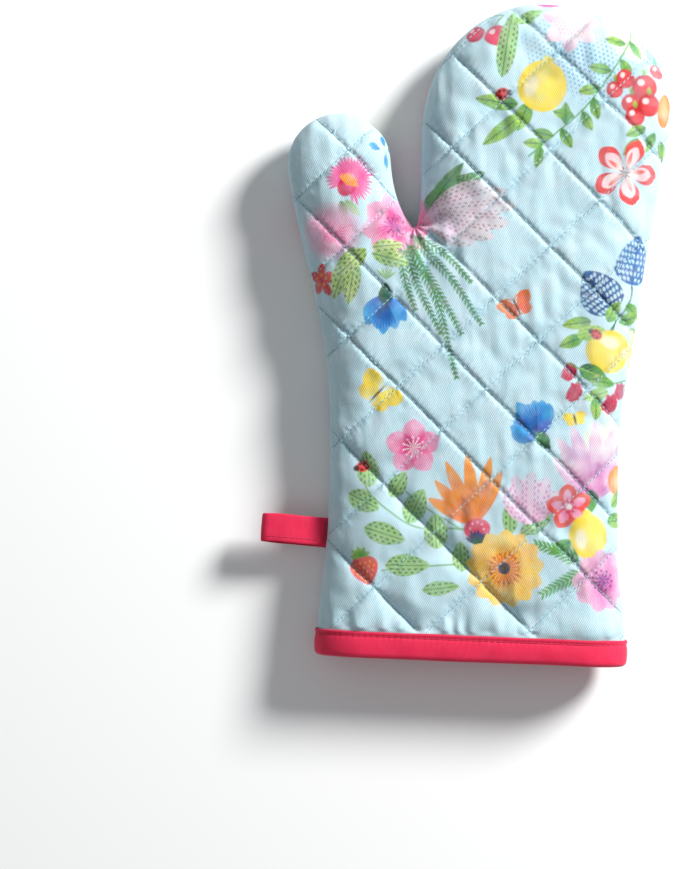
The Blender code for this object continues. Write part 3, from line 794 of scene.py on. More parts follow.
    def lace_leaf(self, x, y, r, turn, colour):
        """A broad leaf with a net of pale cells."""
        c, s = heading(turn)
        bx, by = x - r * c, y - r * s
        self.petal(bx, by, 2 * r, 1.7 * r, turn, colour, colour * 1.2, peak=0.7)
        for row in range(1, 8):
            u = 2 * r * row / 8.4
            half = 0.85 * r * math.sin(math.pi * (u / (2 * r)) ** 0.7) ** 0.7
            for v in np.arange(-half + 1.2, half - 0.8, 2.0):
                v = v + (1.0 if row % 2 else 0)
                if abs(v) > 0.6:
                    slant = turn + (28 if v > 0 else -28)
                    self.oval(bx + u * c - v * s, by + u * s + v * c, 1.15, 0.74, slant, CLOTH,
                              strength=0.85, edge=0.3)
        self.stem([(bx - 3 * c, by - 3 * s), (bx + 1.6 * r * c, by + 1.6 * r * s)], 0.7, colour * 0.8)

    def dashed_leaf(self, x, y, length, width, turn, ground=tone(160, 205, 130), marks=tone(40, 92, 58)):
        """A leaf centred on x, y with rows of short marks."""
        c, s = heading(turn)
        self.petal(x - length / 2 * c, y - length / 2 * s, length, width, turn, ground, ground * 1.05,
                   dashes=marks)
        self.stem([(x - length / 2 * c, y - length / 2 * s), (x + 0.42 * length * c, y + 0.42 * length * s)],
                  0.4, marks)


def print_front(p):
    """The front's motifs, in millimetres in the hem's frame, from the fingertips down to the cuff."""
    # Fingertips
    p.dots(42, 301, 34, 23, -18, tone(50, 155, 215), 2.3, 0.62)
    p.oval(63, 311, 12, 7, -38, CREAM, CREAM, strength=0.7, edge=4)
    p.flower(37, 318, 15, 7, WHITE, PALE_PINK, 10, 0.55)
    p.dots(37, 318, 11, 8, 0, PINK, 1.9, 0.5)
    p.fan(26, 330, 10, -110, 70, 7, HOT_PINK, MAUVE, 0.5)
    for x, y, r in ((-10.1, 311.6, 5.0), (0.0, 310.5, 5.6)):
        p.bead(x, y, r, tone(228, 60, 95))
        p.stem([(x, y + r), (x + 3, y + r + 5), (3, 322)], 0.7, GREEN)
    p.dashed_leaf(6.0, 308, 36, 9.5, 82)
    p.dashed_leaf(16, 321, 16, 7, 30)
    for x, y, turn, length in ((12, 276.6, 172, 21), (15.4, 272.5, 220, 26), (17, 277, 250, 14)):
        p.leaf(x, y, length, 8.0, turn)
    p.lemon(23.5, 286.4, 13, 12, 78)
    p.ladybird(4.2, 282.0, 3.6, 15)
    vine = [(69, 322), (66.8, 313), (59.1, 297.9), (52.1, 286.1), (41.6, 273.1), (27.1, 260.0), (18, 252)]
    p.stem(vine, 0.8, GREEN)
    for x, y, turn in ((64, 309, 175), (66, 311, -60), (57, 295, 172), (52, 287, 195), (49, 282, -75),
                       (40, 272, 168), (44, 275, -62), (30, 262, 170), (34, 266, -60), (24, 257, 262),
                       (61, 301, -50), (36, 268, 95), (26, 258, 178)):
        p.leaf(x, y, 11, 5.2, turn, peak=0.9)
    for x, y, r in ((59.6, 286.4, 4.2), (68, 279.5, 5.2), (74, 288, 6.2), (64.5, 292, 4.8), (76, 279, 5.6),
                    (69.5, 273.0, 4.8), (80, 296, 4.0)):
        p.bead(x, y, r, RED)
        p.petal(x, y + r * 0.9, 4.0, 2.2, 95, GREEN, LIME)
    p.butterfly(79.5, 303, 20, 60, TURQUOISE, TURQUOISE * 0.8, hollow=True)
    p.oval(84.5, 277, 4.6, 8.5, 0, PEACH, ORANGE)
    for x, y, turn in ((75, 268, 205), (80, 266, 250), (84, 262, 285), (72, 262, 225)):
        p.leaf(x, y, 11, 5.5, turn)
    for i in range(5):
        way = 68 + 72 * i
        p.petal(66.2, 245.6, 17, 10.5, way, RED, tone(236, 62, 56), peak=1.7)
        p.petal(66.2, 245.6, 13.5, 7.0, way, WHITE, tone(250, 214, 220), peak=1.5, streaks=0.15)
        p.petal(66.2, 245.6, 10.5, 2.2, way + 8, WHITE, CORAL, peak=1.5)
    p.fringe(66.2, 245.6, 4.2, 9, BROWN, CRIMSON, 0, 180, 0.05, 0.3)

    # Thumb
    p.fringe(-69.5, 236.5, 13.5, 30, HOT_PINK, PINK, 62, 150, 0.1, 0.75)
    p.oval(-71, 233.0, 5.2, 4.2, 60, HOT_PINK, CRIMSON)
    p.fringe(-71, 233.5, 6.5, 12, ORANGE, AMBER, 62, 70, 0.0, 0.5)
    for x, y, turn in ((-55.5, 252.2, 160), (-53.5, 254.0, 95), (-51.3, 252.6, 30), (-53.0, 249.8, -70)):
        p.petal(x, y, 6.8, 3.8, turn, BLUE, SKY, peak=1.2)
    p.stem([(-53, 251), (-51, 247), (-51.4, 243)], 0.7, GREEN)
    p.petal(-73.5, 226, 12, 4.2, -78, GREEN, SAGE, rib=DARK_GREEN)
    p.petal(-71.5, 226, 10, 4.0, -45, SAGE, MINT)
    p.oval(-77.5, 210.5, 14, 13, 0, PINK * 0.5 + PALE_PINK * 0.5, PALE_PINK, strength=0.85, edge=7)
    p.fringe(-77.5, 210.5, 12, 24, HOT_PINK, PALE_PINK, 0, 180, 0.1, 0.35)
    p.flower(-81, 186.5, 8.6, 5, CORAL, RED, 20, 0.62)
    p.stamens(-81, 186.5, 2.6, 5, YELLOW, 0.5, 20)
    p.oval(-81, 186.5, 1.3, inner=CRIMSON)

    # Crotch and palm
    p.petal(-41, 218, 42, 12.5, 33, GREEN, DARK_GREEN, rib=MINT, dashes=SAGE, peak=0.85)
    p.petal(-38, 216, 34, 8, 52, SAGE, GREEN, rib=DARK_GREEN, peak=0.9)
    for turn, length in ((28, 38), (18, 46), (8, 49), (-3, 46), (-14, 40), (-25, 32)):
        p.petal(-38, 218, length, 10.5, turn, tone(222, 196, 218), tone(232, 222, 226), peak=1.5,
                dashes=tone(150, 112, 132), strength=0.85)
    p.fringe(-36, 217.5, 15, 14, HOT_PINK, LILAC, 5, 38, 0.0, 0.4)
    p.flower(-46.5, 214.5, 17.5, 8, PINK, PALE_PINK, 12, 0.7, streaks=0.3)
    p.fringe(-46.5, 214.5, 16, 30, HOT_PINK, PALE_PINK, 0, 180, 0.15, 0.4)
    p.fringe(-46.5, 214.5, 5.6, 11, PURPLE, NAVY, 0, 180, 0.05, 0.4)
    p.stamens(-46.5, 214.5, 5.2, 11, PURPLE, 0.6)
    for places in ([(-44, 205), (-41, 190), (-34.5, 173)], [(-42, 205), (-33, 183), (-21.5, 162)],
                   [(-41, 207), (-27, 188), (-11.5, 163)], [(-40, 207), (-24, 178), (-13.1, 141)],
                   [(-38, 210), (-18, 190), (-1.7, 167.8)], [(-38, 211), (-20, 201), (-7.5, 188)]):
        p.spray(places, 0.7, DARK_GREEN, 4.2, 1.2, tone(80, 140, 80), 2.3)
    for x, y, turn, length, width in ((-66, 203, 250, 27, 10), (-64.5, 197, 262, 22, 8),
                                      (-60, 202, 225, 18, 9), (-57, 200, -12, 19, 8),
                                      (-57, 203, 8, 15, 7)):
        p.petal(x, y, length, width, turn, LIME, tone(205, 225, 150), rib=DARK_GREEN, peak=0.9,
                dashes=DARK_GREEN)
    p.fan(-49.9, 181.5, 22, -90, 38, 9, tone(18, 95, 205), SKY, 0.34, 0.2)
    p.fringe(-49.9, 178, 16, 9, NAVY, BLUE, -90, 30, 0.0, 0.45)
    p.petal(-49.9, 186.5, 11, 6.8, -90, DARK_GREEN, DARK_GREEN * 0.7, peak=1.3)
    p.fringe(-49.9, 188, 6.5, 5, GREEN, LIME, 88, 60, 0.0, 0.5)
    p.butterfly(15.4, 177, 16, 118, CORAL, ORANGE)
    p.lace_leaf(73.5, 202.3, 12.5, 82, tone(40, 100, 165))
    p.lace_leaf(55.5, 186.0, 12.5, 128, tone(24, 70, 135))
    p.stem([(72, 189), (70, 180), (62, 168), (58, 160)], 0.8, DARK_GREEN)
    p.stem([(62, 178), (64, 172), (62, 166)], 0.7, DARK_GREEN)
    for x, y, turn, length in ((69, 180, 330, 13), (66, 171, 20, 15), (72, 168, -35, 12), (52, 171, 190, 14),
                               (60, 171, 60, 12), (48, 163, 205, 12)):
        p.leaf(x, y, length, 6.5, turn)
    p.lemon(62, 156.5, 12.5, 10.5, -12)
    p.flower(75, 158, 13, 6, LEMON, CREAM, 5, 0.5)
    p.dashed_leaf(52, 165.5, 14, 7.5, 15, LIME, GREEN)
    p.ladybird(54.4, 164.6, 3.0, 150)
    for x, y, r in ((42.2, 145.6, 4.2), (45.6, 135.7, 4.8), (63.8, 130.4, 4.8), (69, 137, 4.2)):
        p.bramble(x, y, r, r * 0.82, 60, CRIMSON)
    p.petal(47, 148, 16, 8.5, -18, DARK_GREEN, GREEN, rib=LIME)
    p.petal(53, 143, 14, 6.5, -12, LIME, GREEN, rib=DARK_GREEN)
    p.petal(62, 137, 13, 6.5, 200, LIME, MINT, rib=GREEN)
    p.leaf(57, 134, 12, 6, -95)
    p.stem([(42, 150), (52, 145), (62, 141), (72, 143)], 0.8, GREEN)
    p.stem([(49, 145), (46, 140)], 0.6, GREEN)
    p.butterfly(-51.5, 131.5, 21, 48, LEMON, YELLOW)
    p.butterfly(46.1, 122.2, 10, 100, LEMON, YELLOW)
    p.flower(-32.8, 105.5, 13.8, 5, HOT_PINK, tone(250, 175, 210), 20, 0.8, streaks=0.3)
    p.flower(-32.8, 105.5, 8, 5, HOT_PINK, PINK, 56, 0.5)
    p.fringe(-32.8, 105.5, 5.2, 11, WHITE, WHITE, 0, 180, 0.05, 0.3)
    p.stamens(-32.8, 105.5, 5.0, 11, WHITE, 0.5)
    p.fan(30.5, 112.5, 22, 128, 46, 9, tone(18, 95, 205), SKY, 0.36, 0.2)
    p.fringe(28, 115.5, 15, 9, NAVY, BLUE, 128, 34, 0.0, 0.45)
    p.petal(34.5, 107.0, 11, 6.4, 128, DARK_GREEN, GREEN, peak=1.2)

    # Above the cuff
    p.stem([(-2, 66), (-16, 66), (-30, 66), (-42, 72), (-55, 84), (-58, 98)], 0.9, SAGE)
    p.stem([(-8, 66), (-22, 74), (-36, 84), (-42, 92)], 0.8, SAGE)
    p.stem([(4, 50), (-12, 48), (-28, 46), (-46, 44)], 0.9, SAGE)
    for x, y, length, width, turn in ((-54.8, 94.1, 18, 11, 96), (-55.7, 77.6, 17.5, 11, -27),
                                      (-39.5, 86.8, 14.5, 9, 62), (-30.6, 76.6, 19, 11.5, 66),
                                      (-20.1, 64.5, 18, 12, 94), (-45.0, 62.0, 20.5, 10.5, -16),
                                      (-7.1, 52.5, 15.5, 9.5, 94), (-33.4, 46.9, 22, 11, 1),
                                      (-16.5, 36.4, 18, 7, 8), (16.1, 73.5, 18, 7.5, 92),
                                      (29.7, 70.5, 20, 8.5, 37)):
        p.dashed_leaf(x, y, length, width, turn)
    p.ladybird(-57.4, 95, 3.3, 200)
    p.strawberry(-54.2, 43.5, 15, -72)
    for turn, length in ((151, 27), (66, 30), (134, 30), (80, 35), (117, 35), (99, 36)):
        p.petal(-0.8, 68, length, 6.6, turn, ORANGE, tone(248, 160, 60), peak=1.1, streaks=0.3)
    p.oval(0.3, 66.5, 6.4, 5.0, 10, CRIMSON, tone(235, 70, 100))
    p.stamens(0.3, 66.5, 3.2, 8, PALE_PINK, 0.5)
    p.fringe(1.5, 58.5, 8.5, 9, DARK_GREEN, NAVY, 95, 62, 0.0, 0.9)
    for turn, length in ((128, 22), (50, 22), (108, 25), (70, 25), (89, 26)):
        p.petal(25.5, 70, length, 10.5, turn, PALE_PINK, tone(226, 222, 236), peak=1.0, dashes=MAUVE)
    p.oval(60.5, 112.8, 11, 8, 0, CREAM, CREAM, strength=0.6, edge=4)
    for turn, length in ((135, 30), (50, 28), (122, 36), (62, 34), (109, 39), (76, 38), (92, 40)):
        p.petal(57, 82, length, 7.6, turn, MAUVE, tone(246, 214, 232), peak=1.2, streaks=0.5, strength=0.8)
    p.fringe(57, 82, 24, 16, tone(200, 80, 160), PALE_PINK, 92, 44, 0.0, 0.3)
    p.petal(56, 76, 12, 8, 90, GREEN, DARK_GREEN, peak=1.3)
    p.oval(69, 93, 8, 7, 40, PEACH, ORANGE)
    p.leaf(64, 72, 16, 8, 8)
    p.petal(66, 80, 14, 7, 40, LIME, GREEN, rib=DARK_GREEN)
    for i in range(5):
        p.petal(45.2, 79, 11.8, 9.2, 100 + 72 * i, RED, CORAL, peak=1.2)
        p.petal(45.2, 79, 9.2, 4.6, 100 + 72 * i, HOT_PINK, PALE_PINK, peak=1.2, streaks=0.8)
    p.stamens(45.2, 79, 3.0, 7, CRIMSON, 0.6)
    p.oval(45.2, 79, 1.5, inner=WHITE)
    p.lemon(54.9, 64.5, 11, 9.8, 95)
    p.leaf(46, 62, 12, 6, 215)
    p.spray([(52, 52), (40, 57), (29, 60)], 0.6, GREEN, 6.5, 1.3, GREEN, 2.3)
    p.spray([(54, 48), (44, 42), (34, 36)], 0.6, GREEN, 6.5, 1.3, GREEN, 2.3)
    p.flower(63.3, 43, 16, 9, MAUVE, PALE_PINK, 20, 0.7, streaks=0.3)
    p.fringe(63.3, 43, 15.5, 34, HOT_PINK * 0.6 + MAUVE * 0.4, PALE_PINK, 0, 180, 0.15, 0.4)
    p.fringe(63.3, 43, 4.8, 10, PURPLE, NAVY, 0, 180, 0.05, 0.4)
    p.stamens(63.3, 43, 4.9, 11, NAVY, 0.6)
    p.flower(14.6, 47.4, 19.5, 13, tone(250, 186, 62), tone(253, 214, 112), 8, 0.6, streaks=0.15)
    p.fringe(14.6, 47.4, 19.0, 44, tone(250, 176, 50), tone(254, 224, 130), 0, 180, 0.3, 0.5)
    p.fringe(14.6, 47.4, 10.5, 22, tone(232, 90, 30), ORANGE, 0, 180, 0.15, 0.5)
    p.stamens(14.6, 47.4, 7.4, 16, tone(180, 60, 30), 0.5)
    p.oval(14.6, 47.4, 3.0, inner=BROWN * 0.5, outer=NAVY)


def print_back(p):
    """The same kinds of motif, scattered."""
    kinds = (
        lambda x, y, t: (p.dashed_leaf(x + 8, y + 6, 18, 10, t),
                         p.flower(x, y, 13, 5, HOT_PINK, PINK, t, 0.8),
                         p.stamens(x, y, 4.2, 9, WHITE, 0.5),
                         p.oval(x, y, 1.8, inner=YELLOW)),
        lambda x, y, t: (p.leaf(x - 8, y, 18, 8, t),
                         p.lemon(x, y, 12, 10, t)),
        lambda x, y, t: (p.fan(x, y, 21, t, 44, 9, BLUE, SKY, 0.34),
                         p.petal(x, y, 8, 6, t, DARK_GREEN, GREEN)),
        lambda x, y, t: p.butterfly(x, y, 20, t, YELLOW, AMBER),
        lambda x, y, t: p.spray([(x - 16, y - 8), (x, y), (x + 14, y + 12)], 0.7, GREEN, 8, 2.2,
                                SAGE, 4.0),
        lambda x, y, t: (p.flower(x, y, 15, 13, AMBER, LEMON, t, 0.36),
                         p.oval(x, y, 4.6, inner=ORANGE),
                         p.oval(x, y, 2.2, inner=BROWN)),
        lambda x, y, t: p.strawberry(x, y, 14, t),
        lambda x, y, t: (p.dashed_leaf(x, y, 20, 10, t),
                         p.ladybird(x, y, 3.2, t)),
        lambda x, y, t: (p.flower(x, y, 14, 8, PINK, PALE_PINK, t, 0.6),
                         p.stamens(x, y, 4.4, 12, PURPLE, 0.6),
                         p.oval(x, y, 2.3, inner=LIME)),
        lambda x, y, t: p.lace_leaf(x, y, 11, t, tone(65, 125, 190)),
    )
    for i, y in enumerate(np.arange(34, 330, 30.0)):
        for j, x in enumerate(np.arange(-92, 92, 34.0)):
            jitter = p.random.random(3)
            kind = kinds[(i * 3 + j * 7) % len(kinds)]
            kind(x + 17 * (i % 2) + 8 * jitter[0], y + 9 * jitter[1], 360 * jitter[2])


# ---- Materials -----------------------------------------------------------------------------------

class Nodes:
    """A material under construction: add() makes a node and returns it, with numbers or sockets put in."""

    def __init__(self, name):
        self.material = bpy.data.materials.new(name)
        self.material.use_nodes = True
        self.tree = self.material.node_tree
        self.tree.nodes.clear()

    def add(self, kind, inputs=None, **settings):
        node = self.tree.nodes.new("ShaderNode" + kind)
        for key, value in settings.items():
            setattr(node, key, value)
        for key, value in (inputs or {}).items():
            socket = node.inputs[key]
            if isinstance(value, bpy.types.NodeSocket):
                self.tree.links.new(value, socket)
            else:
                socket.default_value = value
        return node

    def flat(self):
        return self.add("Attribute", attribute_name="flat").outputs["Vector"]

    def turned(self, vector, degrees, stretch=(1, 1, 1)):
        return self.add("Mapping", {"Vector": vector, "Rotation": (0, 0, math.radians(degrees)),
                                    "Scale": stretch}).outputs[0]

    def bands(self, vector, pitch, distortion=0.0, detail_scale=1.0):
        """Ribs across the vector's x, that far apart in its units."""
        return self.add("TexWave", {"Vector": vector, "Scale": math.tau / 20 / pitch,
                                    "Distortion": distortion, "Detail": 1.0,
                                    "Detail Scale": detail_scale}, wave_type="BANDS",
                        bands_direction="X").outputs["Fac"]

    def noise(self, vector, scale, detail=2.0, roughness=0.5):
        return self.add("TexNoise", {"Vector": vector, "Scale": scale, "Detail": detail,
                                     "Roughness": roughness}).outputs["Fac"]

    def maths(self, operation, a, b):
        return self.add("Math", {0: a, 1: b}, operation=operation).outputs[0]

    def span(self, value, low, high, out_low, out_high):
        return self.add("MapRange", {0: value, 1: low, 2: high, 3: out_low, 4: out_high}).outputs[0]

    def blend(self, mode, factor, a, b):
        node = self.add("Mix", data_type="RGBA", blend_type=mode)
        for socket, value in ((node.inputs[0], factor), (node.inputs[6], a), (node.inputs[7], b)):
            if isinstance(value, bpy.types.NodeSocket):
                self.tree.links.new(value, socket)
            else:
                socket.default_value = value
        return node.outputs[2]

    def dimmed(self, base, shade):
        """A colour times a number."""
        grey = self.add("CombineColor", {0: shade, 1: shade, 2: shade}).outputs[0]
        return self.blend("MULTIPLY", 1.0, base, grey)

    def bump(self, height, distance, strength=1.0, normal=None):
        inputs = {"Height": height, "Distance": distance, "Strength": strength}
        if normal is not None:
            inputs["Normal"] = normal
        return self.add("Bump", inputs).outputs[0]

    def finish(self, inputs):
        shader = self.add("BsdfPrincipled", inputs)
        out = self.add("OutputMaterial")
        self.tree.links.new(shader.outputs[0], out.inputs[0])
        return self.material


def colour4(c):
    """A colour as a socket takes it."""
    return (*[float(x) for x in c], 1.0)


def twill_material(name, colour, rib_turn, pitch, depth, rib_weave_and_shade, roughness, sheen, mottle=()):
    """Woven twill whose ribs run at right angles to rib_turn; colour is a value or None for the print. The
    troughs between ribs are darkened, partly as the weave's own yarn colours and partly as painted shade.
    """
    n = Nodes(name)
    flat = n.flat()
    along = n.turned(flat, -rib_turn)
    ribs = n.bands(along, pitch, 1.1, 0.6)
    yarns = n.bands(n.turned(flat, 118 - rib_turn), pitch * 0.8, 0.8, 0.5)
    slubs = n.noise(n.turned(flat, -rib_turn, (1.6, 0.28, 1)), 0.9, 3.0, 0.6)
    printed = n.add("Attribute", attribute_name="print").outputs["Color"] if colour is None else None
    base = colour4(colour) if printed is None else printed
    for tint, scale, amount in mottle:
        spread = n.span(n.noise(flat, scale, 3.0, 0.55), 0.45, 0.75, 0.0, amount)
        base = n.blend("MIX", spread, base, colour4(tint))
    # The ribs' low parts are darkened: partly the weave's pale and dark yarns, partly painted shade in the
    # troughs between ribs.
    raised = n.maths("MULTIPLY", ribs, n.span(yarns, 0, 1, 0.75, 1.0))
    base = n.dimmed(base, n.span(raised, 0.0, 1.0, 1 - rib_weave_and_shade, 1.0))
    base = n.dimmed(base, n.span(slubs, 0.25, 0.75, 0.93, 1.05))
    weave = n.maths("ADD", n.maths("MULTIPLY", ribs, 0.75), n.maths("MULTIPLY", yarns, 0.25))
    normal = n.bump(weave, depth, 0.8)
    normal = n.bump(slubs, depth * 1.5, 0.5, normal)
    return n.finish({"Base Color": base, "Roughness": roughness, "Normal": normal, "Sheen Weight": sheen,
                     "Sheen Roughness": 0.5, "Specular IOR Level": 0.25})


def weave_material(name, colour, pitch, depth):
    """Plain-woven cotton."""
    n = Nodes(name)
    flat = n.flat()
    warp, weft = n.bands(flat, pitch, 0.6), n.bands(n.turned(flat, 90), pitch, 0.6)
    weave = n.maths("MAXIMUM", warp, weft)
    blotch = n.noise(flat, 0.12, 3.0)
    shade = n.maths("MULTIPLY", n.span(weave, 0, 1, 0.86, 1.0), n.span(blotch, 0.3, 0.7, 0.95, 1.02))
    return n.finish({"Base Color": n.dimmed(colour4(colour), shade), "Roughness": 0.9,
                     "Normal": n.bump(weave, depth, 0.7), "Sheen Weight": 0.15,
                     "Specular IOR Level": 0.2})


def fibre_material(name, colour, scale, depth, roughness=0.95, ends=None):
    """Batting or thread: fine fibres, from object coordinates. Ends is a darker colour of painted shade, laid
    on a thread towards its ends where it dips into its needle holes.
    """
    n = Nodes(name)
    place = n.add("TexCoord").outputs["Object"]
    fibres = n.noise(place, scale, 4.0, 0.7)
    shade = n.span(fibres, 0.3, 0.7, 0.8, 1.08)
    whole = colour4(colour)
    # Painted shade: the thread turns to the ends colour towards its ends, where it dips into the needle
    # holes.
    if ends is not None:
        hole_shade_paint = n.add("Attribute", attribute_name="hole_shade_paint").outputs["Fac"]
        whole = n.blend("MIX", hole_shade_paint, whole, colour4(ends))
    return n.finish({"Base Color": n.dimmed(whole, shade), "Roughness": roughness,
                     "Normal": n.bump(fibres, depth, 0.6), "Sheen Weight": 0.2,
                     "Specular IOR Level": 0.3})


COTTON = twill_material("Printed_twill", None, -28, 0.86, 0.00016, 0.42, 0.82, 0.10,
                        ((tone(244, 222, 232), 0.11, 0.16), (tone(150, 215, 235), 0.09, 0.22)))
RED_TWILL = twill_material("Red_twill", tone(238, 38, 82), 40, 0.75, 0.00009, 0.30, 0.74, 0.10,
                           ((tone(240, 70, 105), 0.16, 0.25), (tone(196, 18, 56), 0.07, 0.35)))
LINING_CLOTH = weave_material("Lining_cotton", tone(240, 238, 230), 0.5, 0.00005)
BATTING_FIBRE = fibre_material("Batting_fibre", tone(245, 243, 236), 900, 0.0004)
# The dark second colours of the blue and red threads are painted shade at the stitches' ends, in their needle
# holes.
BLUE_THREAD = fibre_material("Blue_thread", tone(184, 222, 232), 3000, 0.0001, 0.7, tone(30, 88, 110))
RED_THREAD = fibre_material("Red_thread", tone(212, 34, 72), 3000, 0.0001, 0.6, tone(104, 8, 30))
WHITE_THREAD = fibre_material("White_thread", tone(238, 236, 230), 3000, 0.0001, 0.7)
SEAM_TAPE = weave_material("Seam_edges", tone(214, 228, 230), 0.8, 0.0001)


def hand_over(obj, material, body, node):
    """Gives a piece its material, and tells the frame what it rides on and replaces."""
    obj.data.materials.clear()
    obj.data.materials.append(material)
    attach(obj, body)
    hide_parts(node)
    return obj


# ---- Threads -------------------------------------------------------------------------------------

def stitch_run(line, pitch, length, first=0.5):
    """Both ends of each stitch along a line of points."""
    reach = run_length(line)
    starts = np.arange(first, reach[-1] - length, pitch)
    ends = []
    for at in (starts, starts + length):
        ends.append(np.column_stack([np.interp(at, reach, line[:, k]) for k in range(3)]))
    return np.stack(ends, 1) if len(starts) else np.zeros((0, 2, 3))


def stitches(name, ends, radius):
    """Short rounded threads from point to point, in millimetres."""
    sides, stations = 6, (-0.5, -0.42, -0.30, 0.30, 0.42, 0.5)
    # The second row is how much painted shade darkens the thread at each station: full at its ends, where it
    # dips into the needle holes, and a little in between.
    thick, hole_shade_amount = (0.6, 0.95, 1.0, 1.0, 0.95, 0.6), (1.0, 1.0, 0.3, 0.3, 1.0, 1.0)
    start, end = ends[:, 0], ends[:, 1]
    way = end - start
    length = np.linalg.norm(way, axis=1)[:, None]
    way = way / length
    up = np.where(np.abs(way[:, 2:]) > 0.9, (1.0, 0, 0), (0, 0, 1.0))
    across = np.cross(way, up)
    across /= np.linalg.norm(across, axis=1)[:, None]
    over = np.cross(across, way)
    rings = []
    for share, size in zip(stations, thick):
        for k in range(sides):
            a = math.tau * k / sides
            rings.append((start + end) / 2 + way * length * share
                         + radius * size * (across * math.cos(a) + over * math.sin(a)))
    points = np.stack(rings, 1).reshape(-1, 3)
    count, faces = len(stations) * sides, []
    for i in range(len(start)):
        o = i * count
        for s in range(len(stations) - 1):
            for k in range(sides):
                a, b = o + s * sides + k, o + s * sides + (k + 1) % sides
                faces.append((a, a + sides, b + sides, b))
        faces.append(tuple(o + k for k in range(sides)))
        faces.append(tuple(o + count - 1 - k for k in range(sides)))
    obj = make_object(name, world(points), faces)
    # Painted shade at the stitches' ends, station by station.
    attribute = obj.data.attributes.new("hole_shade_paint", "FLOAT", "POINT")
    attribute.data.foreach_set("value", np.tile(np.repeat(hole_shade_amount, sides), len(start)).astype(np.float32))
    return obj


QUILT_PITCH, QUILT_STITCH = 2.6, 2.25   # from stitch to stitch, and the length of one


def quilting_stitches(name, cloth, side):
    """Stitches laid in the panel's grooves."""
    tree = BVHTree.FromObject(cloth, bpy.context.evaluated_depsgraph_get())
    outline = EDGE[1:-1]
    runs = []
    for index, (way, offset, _) in enumerate(QUILT_LINES):
        along = np.array((way[1], -way[0]))
        line = way * offset + along * np.arange(-420, 420, 0.4)[:, None]
        line = line[inside(line, outline) & (line[:, 1] > CUFF_TOP + 0.4)]
        if len(line) < 12:
            continue
        distance, _ = edge_distance(line)
        line, distance = line[distance > RIM_ERROR], distance[distance > RIM_ERROR]
        height = rise_at(line[:, 1]) * np.sin(curl_angle(distance))
        places = world(np.column_stack((line, side * height)))
        found = []
        for p, depth in zip(places, distance):
            hit = (None,)
            if depth > 7:
                hit = tree.ray_cast(Vector(p) + Vector((0, 0, side * 0.02)), Vector((0, 0, -side)))
            if hit[0] is None:
                hit = tree.find_nearest(Vector(p))
            found.append(hit[0] + hit[1] * (0.04 * MM))
        found = (np.array(found) - HEM) / MM
        breaks = np.flatnonzero(np.linalg.norm(np.diff(line, axis=0), axis=1) > 1.0) + 1
        for part in np.split(found, breaks):
            if len(part) > 10:
                runs.append(stitch_run(part, QUILT_PITCH, QUILT_STITCH, 0.6 + 0.37 * (index % 4)))
    return stitches(name, np.vstack(runs), 0.25)


# ---- Inside of the mitt --------------------------------------------------------------------------

def nearest_line(points):
    """Distance from the nearest quilting line of either family."""
    return np.minimum(line_distance(points, 0), line_distance(points, 1))


def lining(name, side):
    """The plain cloth inside a panel, tight along the quilting."""
    depth = 5.15 + 0.9 * (1 - np.exp(-nearest_line(PLAN) / 3.5)) + 0.25 * (noise(PLAN, 9.0, 61) - 0.5)
    points = layer(np.where(PLAN[:, 1] < CUFF_TOP, 5.9, depth))
    obj = make_object(name, points * (1, 1, side), FACES)
    add_vector_attribute(obj.data, "flat", FLAT)
    mesh = subdivided(obj, 1)
    set_coordinates(mesh, world(coordinates(mesh)))
    if side > 0:
        mesh.flip_normals()
    planar_map(mesh, read_vector_attribute(mesh, "flat")[:, :2])
    return obj


def boundary_loop(faces):
    """Edges that only one face uses, as that face runs along them."""
    seen = {}
    for f in faces:
        for a, b in zip(f, f[1:] + f[:1]):
            seen[(min(a, b), max(a, b))] = None if (min(a, b), max(a, b)) in seen else (a, b)
    return [e for e in seen.values() if e]


def batting(name, face, side):
    """Wadding between the panel's cloth and its lining, as a closed form."""
    outer = layer(1.4 + 1.9 * np.exp(-(nearest_line(PLAN) / 2.6) ** 2))
    inner = layer(4.75)
    puff = np.linalg.norm(face - layer(0.0), axis=1)
    outer[:, 2] += np.maximum(puff - 0.6, 0) * np.sin(CURL)
    n = len(outer)
    points = np.vstack((outer, inner))
    faces = list(FACES) + [tuple(n + i for i in f[::-1]) for f in FACES]
    faces += [(b, a, n + a, n + b) for a, b in boundary_loop(FACES)]
    if side < 0:
        faces = [f[::-1] for f in faces]
    return make_object(name, world(points * (1, 1, side)), faces)


def sweep(name, sections, closed_path=False):
    """A skin over sections, each a closed row of points."""
    count, size = sections.shape[:2]
    faces = []
    for i in range(count if closed_path else count - 1):
        for k in range(size):
            a, b = i * size + k, i * size + (k + 1) % size
            c, d = ((i + 1) % count) * size + (k + 1) % size, ((i + 1) % count) * size + k
            faces.append((a, b, c, d))
    if not closed_path:
        faces.append(tuple(range(size))[::-1])
        faces.append(tuple((count - 1) * size + k for k in range(size)))
    return make_object(name, world(sections.reshape(-1, 3)), faces)


